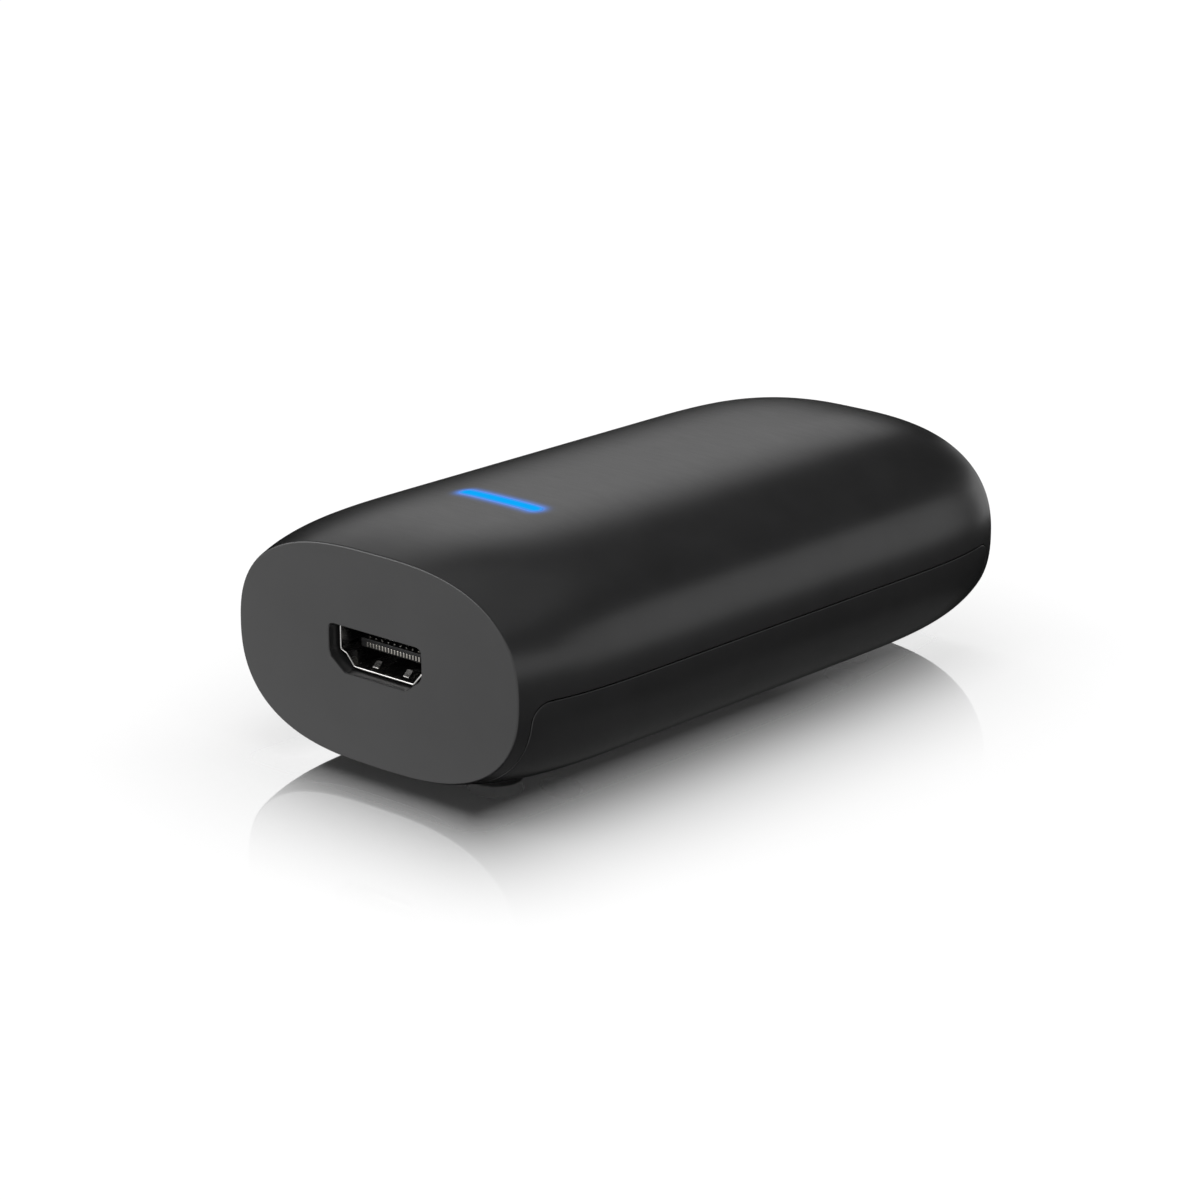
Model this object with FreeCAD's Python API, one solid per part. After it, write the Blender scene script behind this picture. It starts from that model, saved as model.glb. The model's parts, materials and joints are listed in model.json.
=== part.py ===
"""Digital signage player: a pebble-shaped moulded case, screwed together from two shells around one
circuit board, with a video receptacle in the front end face and a network jack in the rear one.

Frame: the origin is on the table under the middle of the case, +Z is up, +Y points to the rear end,
and the video receptacle faces -Y. All sizes are in millimetres.
"""

import FreeCAD, Part
import math
import os

# Case form: superellipse sections that swell from each flat end face to the middle
BODY_LENGTH = 89.5
MID_HALF_WIDTH = 25.6
MID_RISE = 14.8
MID_DROP = 15.0
FACE_HALF_WIDTH = 22.85
FACE_RISE = 13.0
FACE_DROP = 13.25
FOOT_STAND = 0.65
WIDTH_POWER = 2.85
HEIGHT_POWER = 2.39
TAPER_LENGTH = 25.4
TAPER_POWER = 3.9
WALL = 2.0
END_WALL = 2.0
FACE_EDGE_RADIUS = 0.2

# Parting line and lip
SEAM_BELOW_CENTRE = 0.3
SEAM_END_INSET = 1.65
SEAM_CORNER_RADIUS = 2.45
PARTING_GAP = 0.15
LIP_THICKNESS = 0.9
LIP_DEPTH = 1.5
LIP_CLEARANCE = 0.15

# Main board
BOARD_THICKNESS = 1.2
BOARD_TOP_BELOW_CENTRE = 2.25
BOARD_SIDE_GAP = 0.85
BOARD_END_GAP = 0.55
BOARD_CORNER_RADIUS = 3.0
BOARD_SLOT_GAP = 0.15
PART_GAP = 0.7

# Screws and their bosses
SCREW_SPACING_X = 26.0
SCREW_END_DISTANCE = 17.75
SCREW_THREAD_RADIUS = 1.15
SCREW_HEAD_RADIUS = 2.2
SCREW_HEAD_HEIGHT = 1.4
SCREW_LENGTH = 12.0
SCREW_DRIVE_RADIUS = 0.8
SCREW_DRIVE_DEPTH = 0.8
SCREW_LOBE_RADIUS = 0.25
THREAD_CLEARANCE = 0.05
HOLE_CLEARANCE = 0.3
BOSS_RADIUS = 3.0
COLUMN_RADIUS = 4.0
COUNTERBORE_GAP = 0.3
COVER_SCREW_GRIP = 6.0
BOARD_SCREW_LENGTH = 5.0
BOARD_SCREW_THREAD_RADIUS = 0.9
BOARD_SCREW_HEAD_RADIUS = 1.7
BOARD_SCREW_HEAD_HEIGHT = 1.1
BOARD_POST_RADIUS = 2.5
PILOT_RUNOUT = 1.0
FRONT_POST_SIDE_DISTANCE = 4.0
FRONT_POST_END_DISTANCE = 7.75
MIDDLE_POST_SIDE_DISTANCE = 3.4
MIDDLE_POST_Y = -5.0

# Feet
FOOT_RADIUS = 3.25
FOOT_SPACING_X = 16.0
FOOT_END_DISTANCE = 11.75
FOOT_SEAT_Z = 1.8
FOOT_RECESS_GAP = 0.1

# Video receptacle, from the standard 14.0 by 4.55 mouth
MOUTH_HALF_WIDTH = 7.0
MOUTH_HEIGHT = 4.55
MOUTH_SIDE_HEIGHT = 2.95
MOUTH_STEP_HALF_WIDTH = 6.05
MOUTH_STEP_DROP = 0.3
MOUTH_BASE_HALF_WIDTH = 4.8
SHELL_SHEET = 0.3
SHELL_LENGTH = 11.0
SHELL_RECESS = 1.43
SHELL_CORNER_RADIUS = 0.25
LEG_LENGTH = 1.6
LEG_WIDTH = 1.6
LEG_FROM_RIM = (2.2, 8.4)
FINGER_X = 2.5
FINGER_WIDTH = 0.9
FINGER_LENGTH = 2.6
FINGER_RISE = 0.22
FINGER_FROM_RIM = 1.2
TONGUE_FROM_RIM = 1.96
TONGUE_THICKNESS = 1.1
TONGUE_HALF_WIDTH = 5.6
INSULATOR_LENGTH = 3.2
INSULATOR_REAR_INSET = 0.3
MOULD_CLEARANCE = 0.05
CONTACT_PITCH = 1.0
UPPER_CONTACTS = 10
LOWER_CONTACTS = 9
CONTACT_WIDTH = 0.3
CONTACT_THICKNESS = 0.12
CONTACT_TIP_HALF_HEIGHT = 0.3
CONTACT_CREST_FROM_TIP = 0.85
CONTACT_CREST_RISE = 0.12
CONTACT_FOOT_LENGTH = 1.0
CUTOUT_SIDE_GAP = 0.3
CUTOUT_TOP_GAP = 0.18
CUTOUT_BASE_GAP = 0.4
CUTOUT_KNEE_ABOVE_BASE = 2.0
CUTOUT_BASE_HALF_WIDTH = 5.0
CUTOUT_CORNER_RADIUS = 0.4

# Network jack, sunk through the board's rear edge
JACK_WIDTH = 16.0
JACK_HEIGHT = 13.4
JACK_LENGTH = 18.0
JACK_RECESS = 0.5
JACK_SHEET = 0.25
JACK_CUTOUT_GAP = 0.2
JACK_BOARD_GAP = 0.2
JACK_WING_REACH = 2.2
JACK_WING_WIDTH = 3.0
JACK_WINGS_FROM_MOUTH = (6.5, 13.5)
PLUG_CAVITY_WIDTH = 11.9
PLUG_CAVITY_HEIGHT = 6.9
PLUG_CAVITY_DEPTH = 13.0
PLUG_CAVITY_FLOOR = 2.3
LATCH_SLOT_WIDTH = 6.4
LATCH_SLOT_HEIGHT = 1.6
LATCH_TIP_WIDTH = 3.4
LATCH_TIP_HEIGHT = 1.3
JACK_CONTACTS = 8
JACK_CONTACT_PITCH = 1.02
JACK_CONTACT_WIDTH = 0.45
JACK_CONTACT_THICKNESS = 0.3
JACK_CONTACT_RISE = 2.4
JACK_CONTACT_FRONT = 3.6
JACK_CONTACT_REAR = 11.0
MAGNETICS_SIZE = (14.0, 5.2, 4.0)
MAGNETICS_STAND = 0.2
LEADS_A_SIDE = 12
LEAD_PITCH = 1.1
LEAD_WIDTH = 0.4
LEAD_THICKNESS = 0.2
LEAD_FOOT = 0.8
LEAD_HEIGHT = 1.6

# Status light
LIGHT_FROM_FACE = 21.65
LIGHT_LENGTH = 13.0
LIGHT_WIDTH = 2.0
LIGHT_FIT = 0.05
LIGHT_FLANGE_OVERHANG = 1.2
LIGHT_FLANGE_THICKNESS = 1.2
LIGHT_PAD_OVERHANG = 2.0
LIGHT_PAD_BELOW_CROWN = 3.6
SHROUD_WALL = 1.2
SHROUD_GAP = 0.25
LED_COUNT = 3
LED_PITCH = 4.2
LED_SIZE = (2.0, 1.25, 0.8)
LED_AIR_GAP = 0.3

# Processor area, under one shield that fills the board between light and power section
SHIELD_HEIGHT = 2.6
SHIELD_SHEET = 0.2
SHIELD_SKIRT = 1.6
SHIELD_SIDE_DISTANCE = 3.0
SHIELD_INNER_GAP = 1.0
PROCESSOR_SIZE = (14.0, 14.0, 1.4)
MEMORY_SIZE = (10.0, 14.0, 1.0)
STORAGE_SIZE = (11.5, 13.0, 1.0)
MANAGER_SIZE = (7.0, 7.0, 0.9)
PAD_SIZE = (12.0, 12.0)
SINK_INSET = 2.0
SINK_BASE = 1.5
SINK_TAPE = 0.2
SINK_FINS = 9
SINK_FIN_THICKNESS = 0.9
SINK_FIN_HEIGHT = 4.6

# Power section, between shield and network jack
TRANSFORMER_SIDE_DISTANCE = 2.0
CORE_SIZE = (13.0, 12.5, 6.5)
CORE_ABOVE_BOARD = 2.0
CORE_LEG_HALF_WIDTH = 1.9
CORE_OUTER_LEG = 1.9
CORE_YOKE = 2.2
BOBBIN_GAP = 0.1
BOBBIN_WALL = 0.5
BOBBIN_FLANGE = 0.7
WINDING_BUILD = 1.75
CAPACITORS = 2
CAPACITOR_RADIUS = 3.15
CAPACITOR_HEIGHT = 7.7
CAPACITOR_BASE = 1.0
CAPACITOR_BASE_CHAMFER = 1.0
CAPACITOR_CAN_INSET = 0.1
CAPACITOR_EDGE_RADIUS = 0.5
INDUCTOR_SIZE = (5.0, 5.0, 4.0)
INDUCTOR_CORNER_RADIUS = 0.8
CONTROLLER_SIZE = (6.0, 6.0, 0.9)
REGULATOR_SIZE = (5.0, 4.0, 1.5)
BRIDGE_SIZE = (6.5, 5.0, 1.6)
BRIDGE_X = 14.0
BRIDGE_EDGE_DISTANCE = 6.2

# Small parts
NETWORK_CHIP_SIZE = (6.0, 6.0, 0.9)
DRIVER_SIZE = (4.0, 3.5, 0.9)
CRYSTAL_SIZE = (3.2, 2.5, 0.8)
CHIP_CAPACITOR_SIZE = (0.8, 1.6, 0.8)
CHIP_RESISTOR_SIZE = (0.8, 1.6, 0.45)
CHIP_PITCH = 2.2
CHIPS_IN_ROW = 8
CHIPS_IN_COLUMN = 8
CHIP_ROW_SPACING = 3.0

# Reset switch, behind a pinhole in the rear end face
RESET_X = 14.5
SWITCH_SIZE = (6.0, 3.2, 3.4)
SWITCH_FROM_BOARD_EDGE = 0.7
BUTTON_TRAVEL = 0.25
BUTTON_BOTTOM_GAP = 0.5
SWITCH_FRAME = 0.25
BUTTON_RADIUS = 1.1
BUTTON_FLANGE_RADIUS = 1.5
BUTTON_FLANGE = 0.5
BUTTON_REACH = 0.6
BUTTON_CLEARANCE = 0.05
BUTTON_REST_GAP = 0.02
PINHOLE_RADIUS = 0.8

# Places that follow from the values above
CENTRE_Z = FOOT_STAND + MID_DROP
SEAM_Z = CENTRE_Z - SEAM_BELOW_CENTRE
FRONT_Y = -BODY_LENGTH / 2
REAR_Y = BODY_LENGTH / 2
BOARD_TOP = CENTRE_Z - BOARD_TOP_BELOW_CENTRE
BOARD_BOTTOM = BOARD_TOP - BOARD_THICKNESS
BOARD_HALF_WIDTH = FACE_HALF_WIDTH - WALL - BOARD_SIDE_GAP
BOARD_FRONT_Y = FRONT_Y + END_WALL + BOARD_END_GAP
BOARD_REAR_Y = REAR_Y - END_WALL - BOARD_END_GAP
SCREW_SEAT_Z = BOARD_BOTTOM - COVER_SCREW_GRIP
MIDDLE_POST_X = BOARD_HALF_WIDTH - MIDDLE_POST_SIDE_DISTANCE
RIM_Y = FRONT_Y + SHELL_RECESS
SHELL_REAR_Y = RIM_Y + SHELL_LENGTH
MOUTH_BASE_Z = BOARD_TOP + SHELL_SHEET
MOUTH_TOP_Z = MOUTH_BASE_Z + MOUTH_HEIGHT
TONGUE_Z = MOUTH_BASE_Z + MOUTH_HEIGHT / 2
TONGUE_Y = RIM_Y + TONGUE_FROM_RIM
JACK_MOUTH_Y = REAR_Y - JACK_RECESS
JACK_FRONT_Y = JACK_MOUTH_Y - JACK_LENGTH
JACK_BASE_Z = CENTRE_Z - JACK_HEIGHT / 2
LIGHT_Y = FRONT_Y + LIGHT_FROM_FACE
LIGHT_PAD_Z = CENTRE_Z + MID_RISE - LIGHT_PAD_BELOW_CROWN
SHROUD_HALF_WIDTH = LIGHT_WIDTH / 2 + SHROUD_GAP + SHROUD_WALL
MAGNETICS_REACH = MAGNETICS_SIZE[1] / 2 + LEAD_THICKNESS + LEAD_FOOT
MAGNETICS_Y = JACK_FRONT_Y - PART_GAP - MAGNETICS_REACH
POWER_REAR_Y = MAGNETICS_Y - MAGNETICS_REACH - PART_GAP
TRANSFORMER_AT = (
    -BOARD_HALF_WIDTH + TRANSFORMER_SIDE_DISTANCE + CORE_SIZE[0] / 2,
    POWER_REAR_Y - CORE_SIZE[1] / 2,
)
CAPACITOR_AT = (
    TRANSFORMER_AT[0] + CORE_SIZE[0] / 2 + PART_GAP + CAPACITOR_RADIUS,
    POWER_REAR_Y - CAPACITOR_RADIUS,
)
SHIELD_FRONT_Y = LIGHT_Y + SHROUD_HALF_WIDTH + PART_GAP
SHIELD_REAR_Y = POWER_REAR_Y - CORE_SIZE[1] - PART_GAP
SHIELD_LEFT_X = -BOARD_HALF_WIDTH + SHIELD_SIDE_DISTANCE
SHIELD_RIGHT_X = MIDDLE_POST_X - BOARD_POST_RADIUS - PART_GAP
SHIELD_CENTRE = ((SHIELD_LEFT_X + SHIELD_RIGHT_X) / 2, (SHIELD_FRONT_Y + SHIELD_REAR_Y) / 2)
SHIELD_SIZE = (SHIELD_RIGHT_X - SHIELD_LEFT_X, SHIELD_REAR_Y - SHIELD_FRONT_Y, SHIELD_HEIGHT)
SHIELD_TOP = BOARD_TOP + SHIELD_HEIGHT
PROCESSOR_AT = (SHIELD_LEFT_X + SHIELD_INNER_GAP + PROCESSOR_SIZE[0] / 2, SHIELD_CENTRE[1])
MEMORY_AT = (SHIELD_RIGHT_X - SHIELD_INNER_GAP - MEMORY_SIZE[0] / 2, SHIELD_CENTRE[1])
SWITCH_REAR_Y = BOARD_REAR_Y - SWITCH_FROM_BOARD_EDGE
RESET_Z = BOARD_TOP + SWITCH_SIZE[2] / 2
FAR = 2 * BODY_LENGTH


def point(x, y, z):
    return FreeCAD.Vector(x, y, z)


def box(x, y, z):
    """Block between a low and a high value on each axis."""
    return Part.makeBox(x[1] - x[0], y[1] - y[0], z[1] - z[0], point(x[0], y[0], z[0]))


def block(at, base, size):
    """Block of a given size, centred on a spot of the board and standing on base."""
    return box(
        (at[0] - size[0] / 2, at[0] + size[0] / 2),
        (at[1] - size[1] / 2, at[1] + size[1] / 2),
        (base, base + size[2]),
    )


def hung(at, size):
    """Block soldered to the board's underside."""
    return block(at, BOARD_BOTTOM - size[2], size)


def rod(x, y, low, high, radius):
    return Part.makeCylinder(radius, high - low, point(x, y, low))


def rod_along_y(x, z, low, high, radius):
    return Part.makeCylinder(radius, high - low, point(x, low, z), point(0, 1, 0))


def prism_along_y(outline, low, high):
    """Solid whose outline of (x, z) points runs from low to high along Y."""
    corners = [point(x, low, z) for x, z in outline]
    face = Part.Face(Part.makePolygon(corners + corners[:1]))
    return face.extrude(point(0, high - low, 0))


def prism_along_x(outline, middle, width):
    """Solid whose outline of (y, z) points is width wide along X."""
    corners = [point(middle - width / 2, y, z) for y, z in outline]
    face = Part.Face(Part.makePolygon(corners + corners[:1]))
    return face.extrude(point(width, 0, 0))


def joined(shapes):
    whole = shapes[0].fuse(shapes[1:])
    return whole.removeSplitter()


def rounded(solid, direction, radius):
    """The solid with its straight edges along a direction rounded off."""
    picked = []
    for edge in solid.Edges:
        along = edge.tangentAt(edge.FirstParameter)
        if isinstance(edge.Curve, Part.Line) and abs(along.dot(direction)) > 0.999:
            picked.append(edge)
    return solid.makeFillet(radius, picked)


ALONG_Y = point(0, 1, 0)
ALONG_Z = point(0, 0, 1)


# Case form


def swell(y):
    """Share of the growth from end face to middle that is reached at y."""
    depth = min(BODY_LENGTH / 2 - abs(y), TAPER_LENGTH)
    return 1 - (1 - depth / TAPER_LENGTH) ** TAPER_POWER


def between(end, middle, y):
    return end + (middle - end) * swell(y)


def quarter_points(half_width, height):
    """Points of a superellipse quarter, from its side round to its crown."""
    steps = 12
    points = []
    for step in range(steps + 1):
        turn = math.pi / 2 * step / steps
        across = max(math.cos(turn), 0.0) ** (2 / WIDTH_POWER)
        up = math.sin(turn) ** (2 / HEIGHT_POWER)
        points.append((half_width * across, height * up))
    points[-1] = (0.0, height)
    return points


def spacing(points):
    """Curve parameters in step with the distance along the points."""
    reached = [0.0]
    for (x0, z0), (x1, z1) in zip(points, points[1:]):
        reached.append(reached[-1] + math.hypot(x1 - x0, z1 - z0))
    return [value / reached[-1] for value in reached]


QUARTER_SPACING = spacing(quarter_points(MID_HALF_WIDTH, MID_RISE))


def quarter_edge(y, half_width, height, side, above):
    """One smooth quarter of a section; side and above are signs of X and of Z from the centre."""
    points = [point(side * x, y, CENTRE_Z + above * z) for x, z in quarter_points(half_width, height)]
    starts, ends = point(0, 0, above), point(-side, 0, 0)
    parameters = QUARTER_SPACING
    if side != above:
        points.reverse()
        starts, ends = point(side, 0, 0), point(0, 0, -above)
        parameters = [1 - value for value in reversed(QUARTER_SPACING)]
    curve = Part.BSplineCurve()
    curve.interpolate(
        Points=points,
        Parameters=parameters,
        InitialTangent=starts,
        FinalTangent=ends,
    )
    return curve.toShape()


def section(y, inset):
    """Closed section of the case at y, drawn in by inset all round."""
    half_width = between(FACE_HALF_WIDTH, MID_HALF_WIDTH, y) - inset
    rise = between(FACE_RISE, MID_RISE, y) - inset
    drop = between(FACE_DROP, MID_DROP, y) - inset
    edges = [
        quarter_edge(y, half_width, rise, 1, 1),
        quarter_edge(y, half_width, rise, -1, 1),
        quarter_edge(y, half_width, drop, -1, -1),
        quarter_edge(y, half_width, drop, 1, -1),
    ]
    return Part.Wire(edges)


def case_form(inset, overrun):
    """Solid of the case's form, drawn in by inset, its ends run out by overrun."""
    depths = [share * TAPER_LENGTH for share in (0, 0.06, 0.16, 0.32, 0.52, 0.76, 1)]
    if overrun > 0:
        depths.insert(0, -overrun)
    front = [FRONT_Y + depth for depth in depths]
    rear = [-y for y in reversed(front)]
    stations = front + [0.0] + rear
    return Part.makeLoft([section(y, inset) for y in stations], True, False)


def slab_y(low, high):
    return box((-FAR, FAR), (low, high), (-FAR, FAR))


def slab_z(low, high):
    return box((-FAR, FAR), (-FAR, FAR), (low, high))


def outer_form():
    """The case's outside, with the crisp edges of its end faces just broken."""
    form = case_form(0, 0)
    rims = []
    for edge in form.Edges:
        middle = edge.valueAt((edge.FirstParameter + edge.LastParameter) / 2)
        ends = [vertex.Point.y for vertex in edge.Vertexes]
        if abs(abs(middle.y) - REAR_Y) < 1e-3 and abs(ends[0] - ends[1]) < 1e-3:
            rims.append(edge)
    return form.makeFillet(FACE_EDGE_RADIUS, rims)


OUTSIDE = outer_form()
INSIDE = case_form(WALL, 1.0)
MID_WALL = case_form(WALL / 2, 0)
HOLLOW = INSIDE.common(slab_y(FRONT_Y + END_WALL, REAR_Y - END_WALL))


def cover_zone(gap):
    """Space under the parting line, between the end faces, that the lower cover takes."""
    reach = BODY_LENGTH / 2 - SEAM_END_INSET - gap
    top = SEAM_Z - gap
    zone = box((-FAR, FAR), (-reach, reach), (-FAR, top))
    corners = []
    for edge in zone.Edges:
        middle = edge.valueAt((edge.FirstParameter + edge.LastParameter) / 2)
        if abs(middle.z - top) < 1e-6 and abs(abs(middle.y) - reach) < 1e-6:
            corners.append(edge)
    return zone.makeFillet(SEAM_CORNER_RADIUS, corners)


def screw_spots():
    reach = BODY_LENGTH / 2 - SCREW_END_DISTANCE
    half = SCREW_SPACING_X / 2
    return [(x, y) for x in (-half, half) for y in (-reach, reach)]


def post_spots():
    front_x = -BOARD_HALF_WIDTH + FRONT_POST_SIDE_DISTANCE
    return [(front_x, FRONT_Y + FRONT_POST_END_DISTANCE), (MIDDLE_POST_X, MIDDLE_POST_Y)]


def foot_spots():
    reach = BODY_LENGTH / 2 - FOOT_END_DISTANCE
    half = FOOT_SPACING_X / 2
    return [(x, y) for x in (-half, half) for y in (-reach, reach)]


def end_plug():
    """Inner part of the end walls, which the cover's ends pass round."""
    core = case_form(WALL + LIP_CLEARANCE, 1.0)
    ends = core.cut(slab_y(FRONT_Y + END_WALL, REAR_Y - END_WALL))
    return ends


def lip():
    """Thin wall that reaches down behind the cover's edge."""
    reach = BODY_LENGTH / 2 - SEAM_END_INSET / 2
    band = case_form(WALL - LIP_THICKNESS, 1.0)
    band = band.common(slab_y(-reach, reach))
    band = band.common(slab_z(SEAM_Z - LIP_DEPTH, SEAM_Z + LIP_CLEARANCE))
    return band.cut(HOLLOW)


def ceiling_posts():
    """Bosses and posts that hang from the roof down to the board."""
    top = CENTRE_Z + MID_RISE
    posts = [rod(x, y, BOARD_TOP, top, BOSS_RADIUS) for x, y in screw_spots()]
    posts += [rod(x, y, BOARD_TOP, top, BOARD_POST_RADIUS) for x, y in post_spots()]
    return posts


def light_outline(length, width):
    """Upright solid with the plan of the light bar: straight sides and round ends."""
    straight = length - width
    low, high = BOARD_TOP, CENTRE_Z + 2 * MID_RISE
    middle = box((-straight / 2, straight / 2), (LIGHT_Y - width / 2, LIGHT_Y + width / 2), (low, high))
    ends = [rod(x, LIGHT_Y, low, high, width / 2) for x in (-straight / 2, straight / 2)]
    return joined([middle] + ends)


def light_pad():
    """Flat-bottomed thickening of the roof round the light slot."""
    size = (
        LIGHT_LENGTH + 2 * LIGHT_PAD_OVERHANG,
        LIGHT_WIDTH + 2 * LIGHT_PAD_OVERHANG,
        MID_RISE,
    )
    return block((0, LIGHT_Y), LIGHT_PAD_Z, size)


def port_cutout():
    """Opening in the front end wall round the video receptacle."""
    half = MOUTH_HALF_WIDTH + SHELL_SHEET + CUTOUT_SIDE_GAP
    top = MOUTH_TOP_Z + SHELL_SHEET + CUTOUT_TOP_GAP
    base = BOARD_TOP - CUTOUT_BASE_GAP
    knee = base + CUTOUT_KNEE_ABOVE_BASE
    outline = [
        (-half, top),
        (half, top),
        (half, knee),
        (CUTOUT_BASE_HALF_WIDTH, base),
        (-CUTOUT_BASE_HALF_WIDTH, base),
        (-half, knee),
    ]
    hole = prism_along_y(outline, FRONT_Y - 1, FRONT_Y + END_WALL + 1)
    return rounded(hole, ALONG_Y, CUTOUT_CORNER_RADIUS)


def jack_cutout():
    half = JACK_WIDTH / 2 + JACK_CUTOUT_GAP
    tall = JACK_HEIGHT / 2 + JACK_CUTOUT_GAP
    hole = box(
        (-half, half),
        (REAR_Y - END_WALL - 1, REAR_Y + 1),
        (CENTRE_Z - tall, CENTRE_Z + tall),
    )
    return rounded(hole, ALONG_Y, CUTOUT_CORNER_RADIUS)


def pilot_holes():
    reach = SCREW_SEAT_Z + SCREW_LENGTH + PILOT_RUNOUT
    radius = SCREW_THREAD_RADIUS + THREAD_CLEARANCE
    holes = [rod(x, y, BOARD_BOTTOM, reach, radius) for x, y in screw_spots()]
    reach = BOARD_BOTTOM + BOARD_SCREW_LENGTH + PILOT_RUNOUT
    radius = BOARD_SCREW_THREAD_RADIUS + THREAD_CLEARANCE
    return holes + [rod(x, y, BOARD_BOTTOM, reach, radius) for x, y in post_spots()]


def upper_housing():
    shell = OUTSIDE.cut(HOLLOW)
    shell = shell.cut(cover_zone(0).cut(end_plug()))
    inner = joined(ceiling_posts() + [light_pad()]).common(MID_WALL)
    shell = joined([shell, lip(), inner])
    pinhole = rod_along_y(RESET_X, RESET_Z, REAR_Y - END_WALL - 1, REAR_Y + 1, PINHOLE_RADIUS)
    slot = light_outline(LIGHT_LENGTH, LIGHT_WIDTH)
    return shell.cut([port_cutout(), jack_cutout(), pinhole, slot] + pilot_holes())


def lower_cover():
    shell = OUTSIDE.cut(INSIDE).common(cover_zone(PARTING_GAP))
    groove = case_form(WALL - LIP_THICKNESS - LIP_CLEARANCE, 1.0)
    groove = groove.common(slab_z(SEAM_Z - LIP_DEPTH - LIP_CLEARANCE, SEAM_Z))
    shell = shell.cut(groove)
    columns = [rod(x, y, 0, BOARD_BOTTOM, COLUMN_RADIUS) for x, y in screw_spots()]
    columns = joined(columns).common(MID_WALL)
    shell = joined([shell, columns])
    cuts = []
    for x, y in screw_spots():
        cuts.append(rod(x, y, -1, SCREW_SEAT_Z, SCREW_HEAD_RADIUS + COUNTERBORE_GAP))
        cuts.append(rod(x, y, -1, BOARD_TOP, SCREW_THREAD_RADIUS + HOLE_CLEARANCE))
    for x, y in foot_spots():
        cuts.append(rod(x, y, -1, FOOT_SEAT_Z, FOOT_RADIUS + FOOT_RECESS_GAP))
    return shell.cut(cuts)


def screw(x, y, seat, head_radius, head_height, thread_radius, length):
    """Pan-head screw with a six-lobed drive, its head below seat and its thread above."""
    low = seat - head_height
    head = rod(x, y, low, seat, head_radius)
    shank = rod(x, y, seat, seat + length, thread_radius)
    drive = [rod(x, y, low, low + SCREW_DRIVE_DEPTH, SCREW_DRIVE_RADIUS)]
    for step in range(6):
        turn = math.radians(60 * step)
        lobe_x = x + SCREW_DRIVE_RADIUS * math.cos(turn)
        lobe_y = y + SCREW_DRIVE_RADIUS * math.sin(turn)
        drive.append(rod(lobe_x, lobe_y, low, low + SCREW_DRIVE_DEPTH, SCREW_LOBE_RADIUS))
    return joined([head, shank]).cut(joined(drive))


def cover_screws():
    sizes = (SCREW_HEAD_RADIUS, SCREW_HEAD_HEIGHT, SCREW_THREAD_RADIUS, SCREW_LENGTH)
    return [screw(x, y, SCREW_SEAT_Z, *sizes) for x, y in screw_spots()]


def board_screws():
    sizes = (
        BOARD_SCREW_HEAD_RADIUS,
        BOARD_SCREW_HEAD_HEIGHT,
        BOARD_SCREW_THREAD_RADIUS,
        BOARD_SCREW_LENGTH,
    )
    return [screw(x, y, BOARD_BOTTOM, *sizes) for x, y in post_spots()]


def rubber_feet():
    return [rod(x, y, 0, FOOT_SEAT_Z, FOOT_RADIUS) for x, y in foot_spots()]


# Main board


def leg_spots():
    """Middle of each solder leg of the video receptacle, as x and y."""
    x = MOUTH_HALF_WIDTH + SHELL_SHEET / 2
    return [(side * x, RIM_Y + along) for side in (-1, 1) for along in LEG_FROM_RIM]


def main_board():
    board = box(
        (-BOARD_HALF_WIDTH, BOARD_HALF_WIDTH),
        (BOARD_FRONT_Y, BOARD_REAR_Y),
        (BOARD_BOTTOM, BOARD_TOP),
    )
    board = rounded(board, ALONG_Z, BOARD_CORNER_RADIUS)
    half = JACK_WIDTH / 2 + JACK_BOARD_GAP
    cuts = [box((-half, half), (JACK_FRONT_Y - JACK_BOARD_GAP, REAR_Y), (BOARD_BOTTOM - 1, BOARD_TOP + 1))]
    low, high = BOARD_BOTTOM - 1, BOARD_TOP + 1
    cuts += [rod(x, y, low, high, SCREW_THREAD_RADIUS + HOLE_CLEARANCE) for x, y in screw_spots()]
    cuts += [rod(x, y, low, high, BOARD_SCREW_THREAD_RADIUS + BOARD_SLOT_GAP) for x, y in post_spots()]
    slot = (SHELL_SHEET + 2 * BOARD_SLOT_GAP, LEG_WIDTH + 2 * BOARD_SLOT_GAP, high - low)
    cuts += [block(spot, low, slot) for spot in leg_spots()]
    return board.cut(cuts)


# Video receptacle


def mouth_outline():
    """Half-round-the-clock outline of the receptacle's mouth, wide side up."""
    side_end = MOUTH_TOP_Z - MOUTH_SIDE_HEIGHT
    right = [
        (MOUTH_HALF_WIDTH, MOUTH_TOP_Z),
        (MOUTH_HALF_WIDTH, side_end),
        (MOUTH_STEP_HALF_WIDTH, side_end - MOUTH_STEP_DROP),
        (MOUTH_BASE_HALF_WIDTH, MOUTH_BASE_Z),
    ]
    left = [(-x, z) for x, z in reversed(right)]
    return right + left


def mouth_prism(grow, low, high, radius):
    """The mouth's outline, grown all round, as a solid along Y with rounded corners."""
    corners = [point(x, low, z) for x, z in mouth_outline()]
    wire = Part.makePolygon(corners + corners[:1])
    if grow:
        wire = wire.makeOffset2D(grow, 2)
    solid = Part.Face(wire).extrude(point(0, high - low, 0))
    return rounded(solid, ALONG_Y, radius)


def finger(x, wall_z, inward):
    """Spring finger cut from the shell, bent a little way into the mouth."""
    front = RIM_Y + FINGER_FROM_RIM
    crest = front + FINGER_LENGTH / 3
    outline = [
        (front, wall_z + inward * FINGER_RISE / 2),
        (crest, wall_z + inward * FINGER_RISE),
        (front + FINGER_LENGTH, wall_z),
        (front, wall_z),
    ]
    return prism_along_x(outline, x, FINGER_WIDTH)


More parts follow.
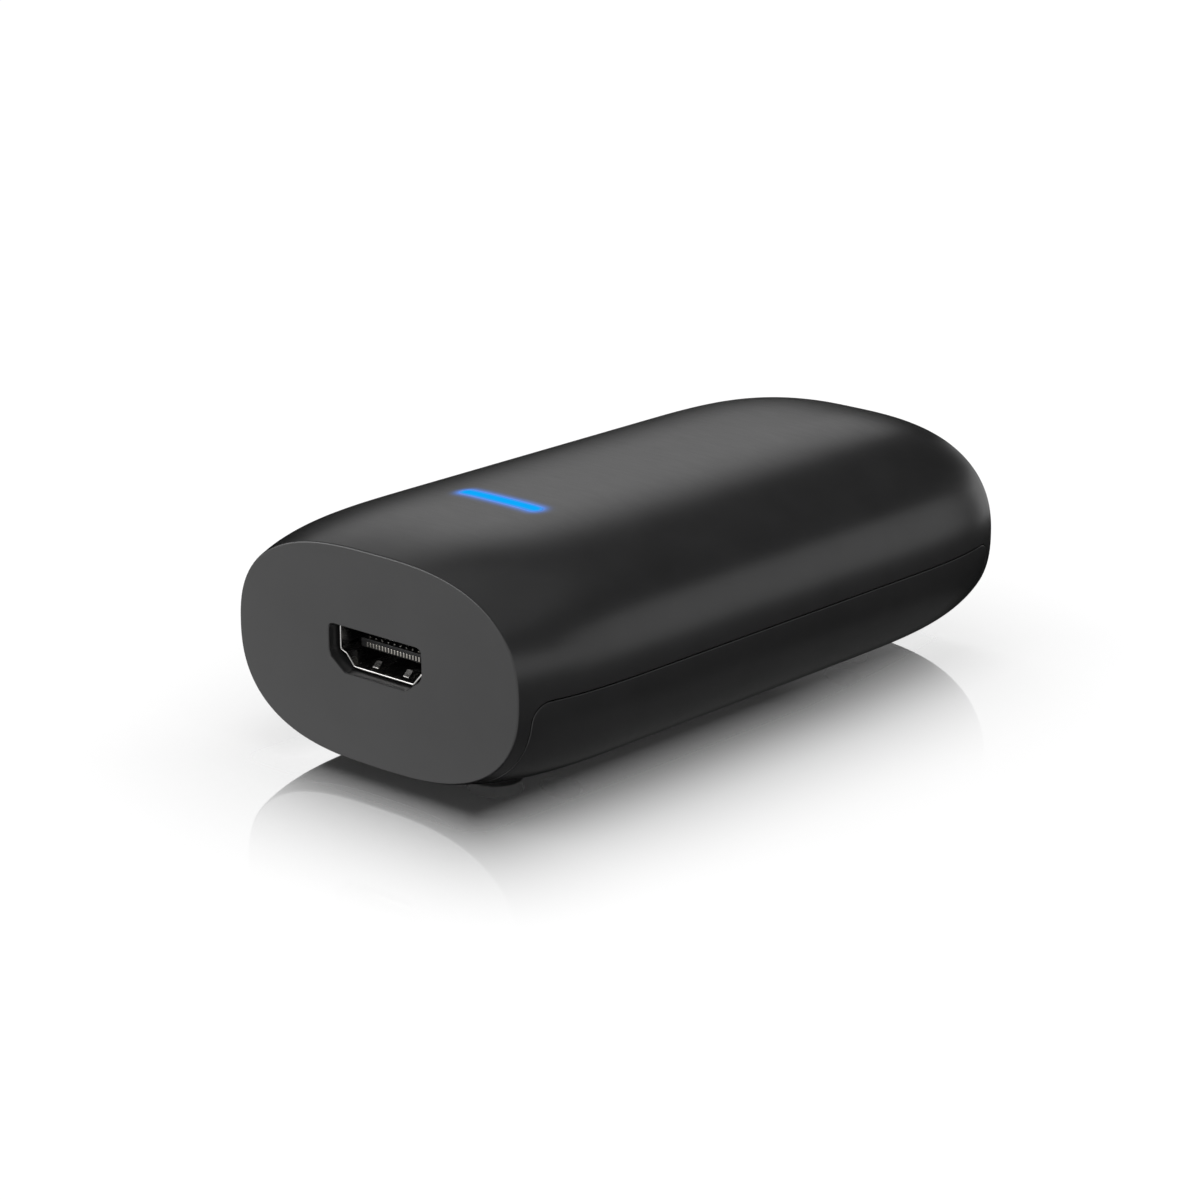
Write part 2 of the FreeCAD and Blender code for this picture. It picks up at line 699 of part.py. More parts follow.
def hdmi_shell():
    outer = mouth_prism(SHELL_SHEET, RIM_Y, SHELL_REAR_Y, SHELL_CORNER_RADIUS + SHELL_SHEET)
    inner = mouth_prism(0, RIM_Y - 1, SHELL_REAR_Y + 1, SHELL_CORNER_RADIUS)
    pieces = [outer.cut(inner)]
    for x in (-FINGER_X, FINGER_X):
        pieces.append(finger(x, MOUTH_BASE_Z, 1))
        pieces.append(finger(x, MOUTH_TOP_Z, -1))
    for spot in leg_spots():
        top = MOUTH_TOP_Z - MOUTH_SIDE_HEIGHT + 1
        size = (SHELL_SHEET, LEG_WIDTH, top - (BOARD_TOP - LEG_LENGTH))
        pieces.append(block(spot, BOARD_TOP - LEG_LENGTH, size))
    return joined(pieces)


def contact_outline(upper):
    """Side view of one contact: tip on the tongue's edge, strip, tail down to the board."""
    sign = 1 if upper else -1
    face = TONGUE_Z + sign * TONGUE_THICKNESS / 2
    skin = face + sign * CONTACT_THICKNESS
    tip = TONGUE_Z - sign * CONTACT_TIP_HALF_HEIGHT
    tail = SHELL_REAR_Y + MOULD_CLEARANCE + CONTACT_THICKNESS
    foot_top = BOARD_TOP + CONTACT_THICKNESS
    crest = TONGUE_Y + CONTACT_CREST_FROM_TIP
    outer_side = [
        (TONGUE_Y - CONTACT_THICKNESS, tip),
        (TONGUE_Y - CONTACT_THICKNESS, skin),
        (crest - CONTACT_CREST_FROM_TIP / 2, skin),
        (crest, skin + sign * CONTACT_CREST_RISE),
        (crest + CONTACT_CREST_FROM_TIP / 2, skin),
    ]
    inner_side = [(TONGUE_Y, face), (TONGUE_Y, tip)]
    rear, front = tail + CONTACT_THICKNESS, tail
    if upper:
        high, low = skin, face
        drop = [(rear, high), (rear, foot_top), (rear + CONTACT_FOOT_LENGTH, foot_top)]
        back = [(rear + CONTACT_FOOT_LENGTH, BOARD_TOP), (front, BOARD_TOP), (front, low)]
    else:
        drop = [(front, skin), (front, BOARD_TOP), (rear + CONTACT_FOOT_LENGTH, BOARD_TOP)]
        back = [(rear + CONTACT_FOOT_LENGTH, foot_top), (rear, foot_top), (rear, face)]
    return outer_side + drop + back + inner_side


def contact_row(count, upper):
    outline = contact_outline(upper)
    first = -CONTACT_PITCH * (count - 1) / 2
    return [prism_along_x(outline, first + CONTACT_PITCH * i, CONTACT_WIDTH) for i in range(count)]


def hdmi_contacts():
    return contact_row(UPPER_CONTACTS, True) + contact_row(LOWER_CONTACTS, False)


def hdmi_insulator():
    rear = SHELL_REAR_Y - INSULATOR_REAR_INSET
    front = rear - INSULATOR_LENGTH
    body = mouth_prism(-MOULD_CLEARANCE, front, rear, SHELL_CORNER_RADIUS)
    tongue = box(
        (-TONGUE_HALF_WIDTH, TONGUE_HALF_WIDTH),
        (TONGUE_Y, rear),
        (TONGUE_Z - TONGUE_THICKNESS / 2, TONGUE_Z + TONGUE_THICKNESS / 2),
    )
    return joined([body, tongue]).cut(hdmi_contacts())


# Network jack


def jack_box(inset, low, high):
    half = JACK_WIDTH / 2 - inset
    return box((-half, half), (low, high), (JACK_BASE_Z + inset, JACK_BASE_Z + JACK_HEIGHT - inset))


def ethernet_shield():
    can = jack_box(0, JACK_FRONT_Y, JACK_MOUTH_Y)
    can = can.cut(jack_box(JACK_SHEET, JACK_FRONT_Y + JACK_SHEET, JACK_MOUTH_Y + 1))
    wings = []
    for side in (-1, 1):
        for along in JACK_WINGS_FROM_MOUTH:
            spot = (side * (JACK_WIDTH + JACK_WING_REACH) / 2, JACK_MOUTH_Y - along)
            size = (JACK_WING_REACH, JACK_WING_WIDTH, JACK_SHEET)
            wings.append(block(spot, BOARD_TOP, size))
    return joined([can] + wings)


def jack_contact_outline():
    """Side view of one jack contact: a spring that slants up into the cavity, and its tail."""
    floor = JACK_BASE_Z + PLUG_CAVITY_FLOOR
    low = floor - 2 * JACK_CONTACT_THICKNESS
    front = JACK_MOUTH_Y - JACK_CONTACT_FRONT
    rear = JACK_MOUTH_Y - JACK_CONTACT_REAR
    tail = JACK_FRONT_Y + 2 * JACK_SHEET + 1
    thick = JACK_CONTACT_THICKNESS
    return [
        (tail, low),
        (front, low),
        (front, low + 2 * thick),
        (rear, floor + JACK_CONTACT_RISE),
        (rear, floor + JACK_CONTACT_RISE - thick),
        (front - 2 * thick, low + thick),
        (tail, low + thick),
    ]


def ethernet_contacts():
    outline = jack_contact_outline()
    first = -JACK_CONTACT_PITCH * (JACK_CONTACTS - 1) / 2
    places = [first + JACK_CONTACT_PITCH * i for i in range(JACK_CONTACTS)]
    return [prism_along_x(outline, x, JACK_CONTACT_WIDTH) for x in places]


def plug_cavity():
    """Room for the plug, with the stepped slot of its latch on top."""
    floor = JACK_BASE_Z + PLUG_CAVITY_FLOOR
    roof = floor + PLUG_CAVITY_HEIGHT
    slot = roof + LATCH_SLOT_HEIGHT
    tip = slot + LATCH_TIP_HEIGHT
    deep = (JACK_MOUTH_Y - PLUG_CAVITY_DEPTH, JACK_MOUTH_Y + 1)
    steps = ((PLUG_CAVITY_WIDTH, roof), (LATCH_SLOT_WIDTH, slot), (LATCH_TIP_WIDTH, tip))
    return joined([box((-wide / 2, wide / 2), deep, (floor, high)) for wide, high in steps])


def ethernet_insert():
    inset = JACK_SHEET + MOULD_CLEARANCE
    body = jack_box(inset, JACK_FRONT_Y + inset, JACK_MOUTH_Y - MOULD_CLEARANCE)
    return body.cut([plug_cavity()] + ethernet_contacts())


def ethernet_magnetics():
    """Encapsulated transformer module with its bent leads along both sides."""
    pieces = [block((0, MAGNETICS_Y), BOARD_TOP + MAGNETICS_STAND, MAGNETICS_SIZE)]
    first = -LEAD_PITCH * (LEADS_A_SIDE - 1) / 2
    side_y = (MAGNETICS_SIZE[1] + LEAD_THICKNESS) / 2
    foot_y = MAGNETICS_SIZE[1] / 2 + LEAD_THICKNESS + LEAD_FOOT / 2
    for side in (-1, 1):
        for i in range(LEADS_A_SIDE):
            x = first + LEAD_PITCH * i
            upright = (LEAD_WIDTH, LEAD_THICKNESS, LEAD_HEIGHT)
            foot = (LEAD_WIDTH, LEAD_FOOT, LEAD_THICKNESS)
            pieces.append(block((x, MAGNETICS_Y + side * side_y), BOARD_TOP, upright))
            pieces.append(block((x, MAGNETICS_Y + side * foot_y), BOARD_TOP, foot))
    return joined(pieces)


# Status light


def light_pipe():
    """Clear bar: a blade down to the lamps, a flange under the roof, a top flush with the roof."""
    blade = light_outline(LIGHT_LENGTH - 2 * LIGHT_FIT, LIGHT_WIDTH - 2 * LIGHT_FIT)
    low = BOARD_TOP + LED_SIZE[2] + LED_AIR_GAP
    blade = blade.common(slab_z(low, FAR)).common(OUTSIDE)
    size = (
        LIGHT_LENGTH + 2 * LIGHT_FLANGE_OVERHANG,
        LIGHT_WIDTH + 2 * LIGHT_FLANGE_OVERHANG,
        LIGHT_FLANGE_THICKNESS,
    )
    flange = block((0, LIGHT_Y), LIGHT_PAD_Z - LIGHT_FLANGE_THICKNESS, size)
    return joined([blade, flange])


def light_shroud():
    """Black tube on the board, round the lamps, that carries the light pipe's flange."""
    inner = (LIGHT_LENGTH + 2 * SHROUD_GAP, LIGHT_WIDTH + 2 * SHROUD_GAP)
    height = LIGHT_PAD_Z - LIGHT_FLANGE_THICKNESS - BOARD_TOP
    outer = (inner[0] + 2 * SHROUD_WALL, inner[1] + 2 * SHROUD_WALL, height)
    tube = block((0, LIGHT_Y), BOARD_TOP, outer)
    return tube.cut(block((0, LIGHT_Y), BOARD_TOP - 1, (inner[0], inner[1], height + 2)))


def status_leds():
    first = -LED_PITCH * (LED_COUNT - 1) / 2
    return [block((first + LED_PITCH * i, LIGHT_Y), BOARD_TOP, LED_SIZE) for i in range(LED_COUNT)]


# Processor area


def processor():
    return block(PROCESSOR_AT, BOARD_TOP, PROCESSOR_SIZE)


def memory_chip():
    return block(MEMORY_AT, BOARD_TOP, MEMORY_SIZE)


def storage_chip():
    return hung(PROCESSOR_AT, STORAGE_SIZE)


def power_manager():
    return hung(MEMORY_AT, MANAGER_SIZE)


def shield_frame():
    outer = block(SHIELD_CENTRE, BOARD_TOP, SHIELD_SIZE)
    inner = (SHIELD_SIZE[0] - 2 * SHIELD_SHEET, SHIELD_SIZE[1] - 2 * SHIELD_SHEET, SHIELD_SIZE[2] + 2)
    return outer.cut(block(SHIELD_CENTRE, BOARD_TOP - 1, inner))


def shield_lid():
    """Cap over the frame: a plate on the frame's edge and a skirt down its outside."""
    grow = 2 * (SHIELD_SHEET + MOULD_CLEARANCE)
    outer = (SHIELD_SIZE[0] + grow, SHIELD_SIZE[1] + grow, SHIELD_SKIRT + SHIELD_SHEET)
    inner = (SHIELD_SIZE[0] + 2 * MOULD_CLEARANCE, SHIELD_SIZE[1] + 2 * MOULD_CLEARANCE, SHIELD_SKIRT)
    low = SHIELD_TOP - SHIELD_SKIRT
    return block(SHIELD_CENTRE, low, outer).cut(block(SHIELD_CENTRE, low, inner))


def thermal_pad():
    low = BOARD_TOP + PROCESSOR_SIZE[2]
    return block(PROCESSOR_AT, low, (PAD_SIZE[0], PAD_SIZE[1], SHIELD_TOP - low))


def sink_plan():
    return (SHIELD_SIZE[0] - 2 * SINK_INSET, SHIELD_SIZE[1] - 2 * SINK_INSET)


def heat_sink_tape():
    return block(SHIELD_CENTRE, SHIELD_TOP + SHIELD_SHEET, sink_plan() + (SINK_TAPE,))


def heat_sink():
    """Aluminium base with upright fins."""
    wide, long = sink_plan()
    base = SHIELD_TOP + SHIELD_SHEET + SINK_TAPE
    pieces = [block(SHIELD_CENTRE, base, (wide, long, SINK_BASE))]
    pitch = (wide - SINK_FIN_THICKNESS) / (SINK_FINS - 1)
    first = SHIELD_CENTRE[0] - pitch * (SINK_FINS - 1) / 2
    fin = (SINK_FIN_THICKNESS, long, SINK_BASE + SINK_FIN_HEIGHT)
    for i in range(SINK_FINS):
        pieces.append(block((first + pitch * i, SHIELD_CENTRE[1]), base, fin))
    return joined(pieces)


# Power section


def core_base():
    return BOARD_TOP + CORE_ABOVE_BOARD


def tube_size(grow):
    """Section and length of the transformer's centre leg, grown all round."""
    wide = 2 * (CORE_LEG_HALF_WIDTH + grow)
    long = CORE_SIZE[1] - 2 * CORE_YOKE - 2 * BOBBIN_GAP
    return (wide, long, CORE_SIZE[2] + 2 * grow)


def transformer_core():
    """Ferrite core: two yokes, two outer legs and the centre leg."""
    core = block(TRANSFORMER_AT, core_base(), CORE_SIZE)
    inner = CORE_SIZE[0] / 2 - CORE_OUTER_LEG
    wide = inner - CORE_LEG_HALF_WIDTH
    middle = (inner + CORE_LEG_HALF_WIDTH) / 2
    size = (wide, CORE_SIZE[1] - 2 * CORE_YOKE, CORE_SIZE[2] + 2)
    windows = []
    for side in (-1, 1):
        spot = (TRANSFORMER_AT[0] + side * middle, TRANSFORMER_AT[1])
        windows.append(block(spot, core_base() - 1, size))
    return core.cut(windows)


def transformer_bobbin():
    """Spool round the centre leg, standing on the board on its two flanges."""
    outer = tube_size(BOBBIN_GAP + BOBBIN_WALL)
    tube = block(TRANSFORMER_AT, core_base() - BOBBIN_GAP - BOBBIN_WALL, outer)
    half = CORE_SIZE[0] / 2 - CORE_OUTER_LEG - BOBBIN_GAP
    top = core_base() + CORE_SIZE[2] + BOBBIN_GAP + BOBBIN_WALL + WINDING_BUILD
    pieces = [tube]
    for side in (-1, 1):
        y = TRANSFORMER_AT[1] + side * (outer[1] - BOBBIN_FLANGE) / 2
        size = (2 * half, BOBBIN_FLANGE, top - BOARD_TOP)
        pieces.append(block((TRANSFORMER_AT[0], y), BOARD_TOP, size))
    inner = tube_size(BOBBIN_GAP)
    hole = block(TRANSFORMER_AT, core_base() - BOBBIN_GAP, (inner[0], inner[1] + 2, inner[2]))
    return joined(pieces).cut(hole)


def transformer_winding():
    tube = tube_size(BOBBIN_GAP + BOBBIN_WALL)
    build = CORE_SIZE[0] / 2 - CORE_OUTER_LEG - tube[0] / 2 - 2 * BOBBIN_GAP
    long = tube[1] - 2 * BOBBIN_FLANGE
    base = core_base() - BOBBIN_GAP - BOBBIN_WALL
    drop = min(build, base - BOARD_TOP - BOBBIN_GAP)
    rise = WINDING_BUILD - BOBBIN_GAP
    outer = (tube[0] + 2 * build, long, tube[2] + drop + rise)
    coil = rounded(block(TRANSFORMER_AT, base - drop, outer), ALONG_Y, build / 2)
    return coil.cut(block(TRANSFORMER_AT, base, (tube[0], long + 2, tube[2])))


def output_capacitors():
    """Electrolytic cans on their chamfered square bases, in a row across the board."""
    cans = []
    wide = 2 * CAPACITOR_RADIUS
    top = BOARD_TOP + CAPACITOR_HEIGHT
    for i in range(CAPACITORS):
        x, y = CAPACITOR_AT[0] + (wide + PART_GAP) * i, CAPACITOR_AT[1]
        foot = block((x, y), BOARD_TOP, (wide, wide, CAPACITOR_BASE))
        foot = rounded(foot, ALONG_Z, CAPACITOR_BASE_CHAMFER)
        can = rod(x, y, BOARD_TOP + CAPACITOR_BASE, top, CAPACITOR_RADIUS - CAPACITOR_CAN_INSET)
        rim = [edge for edge in can.Edges if edge.BoundBox.ZMin > top - CAPACITOR_BASE]
        cans.append(joined([foot, can.makeFillet(CAPACITOR_EDGE_RADIUS, rim)]))
    return cans


def power_inductor():
    row_end = CAPACITOR_AT[0] - CAPACITOR_RADIUS + (2 * CAPACITOR_RADIUS + PART_GAP) * CAPACITORS
    choke = block((row_end + INDUCTOR_SIZE[0] / 2, CAPACITOR_AT[1]), BOARD_TOP, INDUCTOR_SIZE)
    return rounded(choke, ALONG_Z, INDUCTOR_CORNER_RADIUS)


def power_controller():
    return hung((TRANSFORMER_AT[0], TRANSFORMER_AT[1]), CONTROLLER_SIZE)


def switching_regulators():
    step = REGULATOR_SIZE[0] + PART_GAP
    return [hung((CAPACITOR_AT[0] + step * i, CAPACITOR_AT[1]), REGULATOR_SIZE) for i in range(2)]


def bridge_rectifiers():
    y = BOARD_REAR_Y - BRIDGE_EDGE_DISTANCE
    return [hung((x, y), BRIDGE_SIZE) for x in (-BRIDGE_X, BRIDGE_X)]


# Small parts on the board


def network_chip():
    return hung((0, MAGNETICS_Y), NETWORK_CHIP_SIZE)


def video_driver():
    """Chip between the receptacle's tails and the light's shroud."""
    tails = SHELL_REAR_Y + MOULD_CLEARANCE + 2 * CONTACT_THICKNESS + CONTACT_FOOT_LENGTH
    shroud = LIGHT_Y - SHROUD_HALF_WIDTH
    return block((0, (tails + shroud) / 2), BOARD_TOP, DRIVER_SIZE)


def crystals():
    """Clock crystals of the processor and of the network chip."""
    beside_network = (NETWORK_CHIP_SIZE[0] + CRYSTAL_SIZE[0]) / 2 + PART_GAP
    beside_storage = (STORAGE_SIZE[1] + CRYSTAL_SIZE[1]) / 2 + PART_GAP
    return [
        hung((PROCESSOR_AT[0], PROCESSOR_AT[1] + beside_storage), CRYSTAL_SIZE),
        hung((beside_network, MAGNETICS_Y), CRYSTAL_SIZE),
    ]


def chip_row(y, size):
    """Row of small parts across the board's underside."""
    first = -CHIP_PITCH * (CHIPS_IN_ROW - 1) / 2
    return [hung((first + CHIP_PITCH * i, y), size) for i in range(CHIPS_IN_ROW)]


def chip_capacitors():
    """A row under the light, and a column on top between shield and board edge."""
    x = (SHIELD_LEFT_X - BOARD_HALF_WIDTH) / 2
    first = SHIELD_CENTRE[1] - CHIP_PITCH * (CHIPS_IN_COLUMN - 1) / 2
    places = [(x, first + CHIP_PITCH * i) for i in range(CHIPS_IN_COLUMN)]
    column = [block(place, BOARD_TOP, CHIP_CAPACITOR_SIZE) for place in places]
    return chip_row(LIGHT_Y, CHIP_CAPACITOR_SIZE) + column


def chip_resistors():
    return chip_row(LIGHT_Y + CHIP_ROW_SPACING, CHIP_RESISTOR_SIZE)


# Reset switch


def reset_switch_body():
    at = (RESET_X, SWITCH_REAR_Y - SWITCH_SIZE[1] / 2)
    body = block(at, BOARD_TOP, SWITCH_SIZE)
    deep = SWITCH_REAR_Y - BUTTON_REST_GAP - BUTTON_FLANGE - BUTTON_TRAVEL - BUTTON_BOTTOM_GAP
    radius = BUTTON_FLANGE_RADIUS + BUTTON_CLEARANCE
    return body.cut(rod_along_y(RESET_X, RESET_Z, deep, SWITCH_REAR_Y + 1, radius))


def reset_switch_cover():
    """Metal plate over the switch's open side, with two legs bent down its ends."""
    plate_y = SWITCH_REAR_Y + SWITCH_FRAME / 2
    plate = block((RESET_X, plate_y), BOARD_TOP, (SWITCH_SIZE[0], SWITCH_FRAME, SWITCH_SIZE[2]))
    pieces = [plate]
    for side in (-1, 1):
        x = RESET_X + side * (SWITCH_SIZE[0] + SWITCH_FRAME) / 2
        y = SWITCH_REAR_Y + SWITCH_FRAME - SWITCH_SIZE[1] / 4
        pieces.append(block((x, y), BOARD_TOP, (SWITCH_FRAME, SWITCH_SIZE[1] / 2, SWITCH_SIZE[2])))
    low = SWITCH_REAR_Y - 1
    hole = rod_along_y(RESET_X, RESET_Z, low, low + 3, BUTTON_RADIUS + BUTTON_CLEARANCE)
    return joined(pieces).cut(hole)


def reset_button():
    """Plunger: its flange is held behind the plate, its stem stands out towards the pinhole."""
    flange_y = SWITCH_REAR_Y - BUTTON_REST_GAP - BUTTON_FLANGE
    tip = SWITCH_REAR_Y + SWITCH_FRAME + BUTTON_REACH
    flange = rod_along_y(RESET_X, RESET_Z, flange_y, flange_y + BUTTON_FLANGE, BUTTON_FLANGE_RADIUS)
    stem = rod_along_y(RESET_X, RESET_Z, flange_y, tip, BUTTON_RADIUS)
    return joined([flange, stem])


NODES = (
    upper_housing,
    lower_cover,
    cover_screws,
    board_screws,
    rubber_feet,
    main_board,
    hdmi_shell,
    hdmi_insulator,
    hdmi_contacts,
    ethernet_shield,
    ethernet_insert,
    ethernet_contacts,
    ethernet_magnetics,
    light_pipe,
    light_shroud,
    status_leds,
    processor,
    memory_chip,
    storage_chip,
    power_manager,
    shield_frame,
    shield_lid,
    thermal_pad,
    heat_sink_tape,
    heat_sink,
    transformer_core,
    transformer_bobbin,
    transformer_winding,
    output_capacitors,
    power_inductor,
    power_controller,
    switching_regulators,
    bridge_rectifiers,
    network_chip,
    video_driver,
    crystals,
    chip_capacitors,
    chip_resistors,
    reset_switch_body,
    reset_switch_cover,
    reset_button,
)


def main():
    """Write one file for each node. A list is several separate solids of one kind."""
    os.makedirs("parts", exist_ok=True)
    for node in NODES:
        shape = node()
        if isinstance(shape, list):
            shape = Part.makeCompound(shape)
        shape.exportStep(os.path.join("parts", node.__name__ + ".step"))
        print(node.__name__, len(shape.Solids), round(shape.Volume, 2), shape.isValid())


main()
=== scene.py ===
"""Digital signage player: a satin black moulded case with its connectors and lit status bar, on a table.

Everything is in metres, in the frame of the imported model: the origin is on the table under the middle
of the case, +Z is up, and the video receptacle faces -Y.
"""

import json
import math

import bmesh
import bpy
import numpy as np
from mathutils import Matrix, Vector

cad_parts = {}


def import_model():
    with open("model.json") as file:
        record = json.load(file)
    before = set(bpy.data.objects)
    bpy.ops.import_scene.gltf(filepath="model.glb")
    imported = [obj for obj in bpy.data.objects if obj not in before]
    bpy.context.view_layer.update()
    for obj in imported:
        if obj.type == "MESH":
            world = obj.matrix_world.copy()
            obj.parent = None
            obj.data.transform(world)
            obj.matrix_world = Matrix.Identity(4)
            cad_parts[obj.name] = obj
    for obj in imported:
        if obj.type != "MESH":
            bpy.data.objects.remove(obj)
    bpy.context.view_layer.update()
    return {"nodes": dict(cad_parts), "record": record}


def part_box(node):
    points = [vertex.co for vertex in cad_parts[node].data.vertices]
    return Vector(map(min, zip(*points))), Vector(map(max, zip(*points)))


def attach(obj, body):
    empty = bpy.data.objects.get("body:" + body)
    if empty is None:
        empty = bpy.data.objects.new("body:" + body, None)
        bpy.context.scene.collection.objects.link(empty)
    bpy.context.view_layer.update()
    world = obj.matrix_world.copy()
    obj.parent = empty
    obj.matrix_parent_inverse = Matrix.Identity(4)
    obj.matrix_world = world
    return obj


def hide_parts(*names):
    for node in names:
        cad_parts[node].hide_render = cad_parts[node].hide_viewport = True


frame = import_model()

MM = 0.001
BODY = "case"

# Case form: superellipse sections that swell from each flat end face to the middle
HALF_LENGTH = 44.75 * MM
MID_HALF_WIDTH = 25.6 * MM
MID_RISE = 14.8 * MM
MID_DROP = 15.0 * MM
FACE_HALF_WIDTH = 22.85 * MM
FACE_RISE = 13.0 * MM
FACE_DROP = 13.25 * MM
CENTRE_Z = 15.65 * MM
WIDTH_POWER = 2.85
HEIGHT_POWER = 2.39
TAPER_LENGTH = 25.4 * MM
TAPER_POWER = 3.9
WALL = 2.0 * MM
INNER_END = HALF_LENGTH - WALL
FACE_EDGE = 0.22 * MM

# Parting line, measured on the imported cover
cover_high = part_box("lower_cover")[1]
PARTING_GAP = 0.15 * MM
SEAM_Z = cover_high.z + PARTING_GAP
SEAM_REACH = cover_high.y + PARTING_GAP
SEAM_END_INSET = HALF_LENGTH - SEAM_REACH
SEAM_CORNER = 2.45 * MM
SEAM_EDGE = 0.1 * MM
LIP_THICKNESS = 0.9 * MM
LIP_DEPTH = 1.5 * MM
LIP_CLEARANCE = 0.15 * MM

# Screw bosses, board posts, screw holes and foot recesses
BOSS_RADIUS = 3.0 * MM
POST_RADIUS = 2.5 * MM
COLUMN_RADIUS = 4.0 * MM
PILOT_RADIUS = 1.2 * MM
PILOT_TOP = 19.2 * MM
BOARD_PILOT_RADIUS = 0.95 * MM
BOARD_PILOT_TOP = 18.2 * MM
HEAD_HOLE_RADIUS = 2.5 * MM
SCREW_SEAT_Z = 6.2 * MM
SHANK_HOLE_RADIUS = 1.45 * MM
FOOT_HOLE_RADIUS = 3.35 * MM
PINHOLE_RADIUS = 0.8 * MM
SPOT_SPREAD = 8.0 * MM

# Pad under the roof that the light bar's slot goes through
PAD_OVERHANG = 2.0 * MM
PAD_BELOW_ROOF = 3.6 * MM
LIGHT_PAD_Z = CENTRE_Z + MID_RISE - PAD_BELOW_ROOF

# How far cutting tools reach: out of the case, and past the inside of its end walls
FAR = 2 * HALF_LENGTH
PAST_WALL = 0.2 * MM

# Mesh densities
UPPER_COLUMNS = 44
BELLY_COLUMNS = 40
CORNER_ROWS = 8
TAPER_ROWS = 34
MIDDLE_ROWS = 12
EDGE_ROWS = 4
END_ROWS = 4
FORM_ROWS = 61
PINHOLE_STEPS = 32
FINE_STEPS = 1500

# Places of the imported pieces
light_low, light_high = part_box("light_pipe")
board_low, board_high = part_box("main_board")
jack_low, jack_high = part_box("ethernet_shield")
receptacle_low, receptacle_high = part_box("hdmi_shell")
LIGHT_Y = (light_low.y + light_high.y) / 2
LIGHT_LENGTH = 13.0 * MM
LIGHT_WIDTH = 2.0 * MM
BOARD_TOP = board_high.z
BOARD_BOTTOM = board_low.z

# Openings round the video receptacle and the network jack
PORT_TOP_GAP = 0.18 * MM
PORT_BASE_DROP = 0.3 * MM
PORT_HALF_WIDTH = 7.6 * MM
PORT_SIDE_END = 2.25 * MM
PORT_KNEE_HALF_WIDTH = 7.25 * MM
PORT_KNEE = 1.6 * MM
PORT_BASE_HALF_WIDTH = 4.95 * MM
PORT_CORNER = 1.0 * MM
JACK_OPENING_HALF_WIDTH = 8.2 * MM
JACK_GAP = 0.2 * MM
JACK_OPENING_CORNER = 0.4 * MM
OPENING_CHAMFER = 0.1 * MM

# Video receptacle: its mouth as the photograph shows it, its sheet, fingers, tongue and contacts
RIM_Y = receptacle_low.y
SHELL_REAR_Y = receptacle_high.y
SHELL_SHEET = 0.3 * MM
RIM_BEND = 0.13 * MM
RIM_STEPS = 5
MOUTH_HALF_WIDTH = 7.0 * MM
MOUTH_HEIGHT = 4.65 * MM
MOUTH_SIDE_HEIGHT = 2.95 * MM
MOUTH_STEP_HALF_WIDTH = 6.05 * MM
MOUTH_STEP_DROP = 0.3 * MM
MOUTH_BASE_HALF_WIDTH = 4.8 * MM
MOUTH_CORNER = 0.25 * MM
FINGER_X = 2.5 * MM
FINGER_WIDTH = 0.9 * MM
FINGER_FROM_RIM = 1.2 * MM
FINGER_LIP = 0.03 * MM
FINGER_RAMP = 0.73 * MM
FINGER_LENGTH = 3.2 * MM
FINGER_RISE = 0.66 * MM
FINGER_SHEET = 0.18 * MM
LEGS_FROM_RIM = (2.2 * MM, 8.4 * MM)
LEG_WIDTH = 1.6 * MM
INSULATOR_LENGTH = 3.2 * MM
INSULATOR_GAP = 0.05 * MM
TONGUE_Z = 15.975 * MM
TONGUE_TIP_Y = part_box("hdmi_insulator")[0].y
TONGUE_THICKNESS = 1.1 * MM
TONGUE_HALF_WIDTH = 5.6 * MM
CONTACTS = 19
CONTACT_SPACING = 0.5 * MM
CONTACT_WIDTH = 0.23 * MM
CONTACT_SHEET = 0.12 * MM
CONTACT_TIP_LOW = -0.4 * MM
CONTACT_TIP_HIGH = 0.15 * MM
CONTACT_TIP_PROUD = 0.08 * MM
CONTACT_FOOT = 1.0 * MM
CREST_FROM_TIP = 0.85 * MM
CREST_HALF_LENGTH = 0.45 * MM
CREST_RISE = 0.16 * MM
INSULATOR_EDGE = 0.08 * MM
CONTACT_EDGE = 0.03 * MM

# Edges: where shading breaks, which ones are rounded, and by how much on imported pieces
SHARP_DEGREES = 32
ROUNDED_DEGREES = 40
ON_FORM = 2e-4
SAME_WAY = 0.9
EDGE_WIDTHS = {
    "rubber_feet": 0.25 * MM,
    "cover_screws": 0.06 * MM,
    "light_shroud": 0.08 * MM,
    "ethernet_insert": 0.08 * MM,
    "ethernet_magnetics": 0.1 * MM,
    "processor": 0.06 * MM,
    "memory_chip": 0.06 * MM,
    "storage_chip": 0.06 * MM,
    "power_inductor": 0.15 * MM,
    "transformer_core": 0.1 * MM,
    "thermal_pad": 0.1 * MM,
}

# Camera of the photograph
CAMERA_AZIMUTH = 41.994
CAMERA_ELEVATION = 17.6
CAMERA_ROLL = -0.1105
CAMERA_DISTANCE = 454.127 * MM
CAMERA_LENS = 109.194
CAMERA_SENSOR = 36
CAMERA_NEAREST = 10 * MM
AIM_HEIGHT = 15.0 * MM
AIM_RIGHT = -3.746 * MM
AIM_UP = -2.417 * MM

# Colours and finish
CASE_DARK = (0.0165, 0.0165, 0.0169)
CASE_LIGHT = (0.0200, 0.0200, 0.0205)
CASE_SATIN = (0.28, 0.34)
CASE_GRAIN_DEPTH = 0.002 * MM
BAR_CORE = (0.0024, 0.39, 0.965)
BAR_EDGE = (0.09, 0.28, 0.80)
BAR_RIM = 0.5 * MM
BAR_LEFT = 0.1 * MM
BAR_END = 1.15
# Painted glow: blue light emitted by the case plastic round the light bar, standing in for the bar's light
# spilling onto it
PAINTED_GLOW_COLOUR = (0.004, 0.20, 0.85)
GLOW_REACH = 2.4 * MM
GLOW_FADE = 4.0

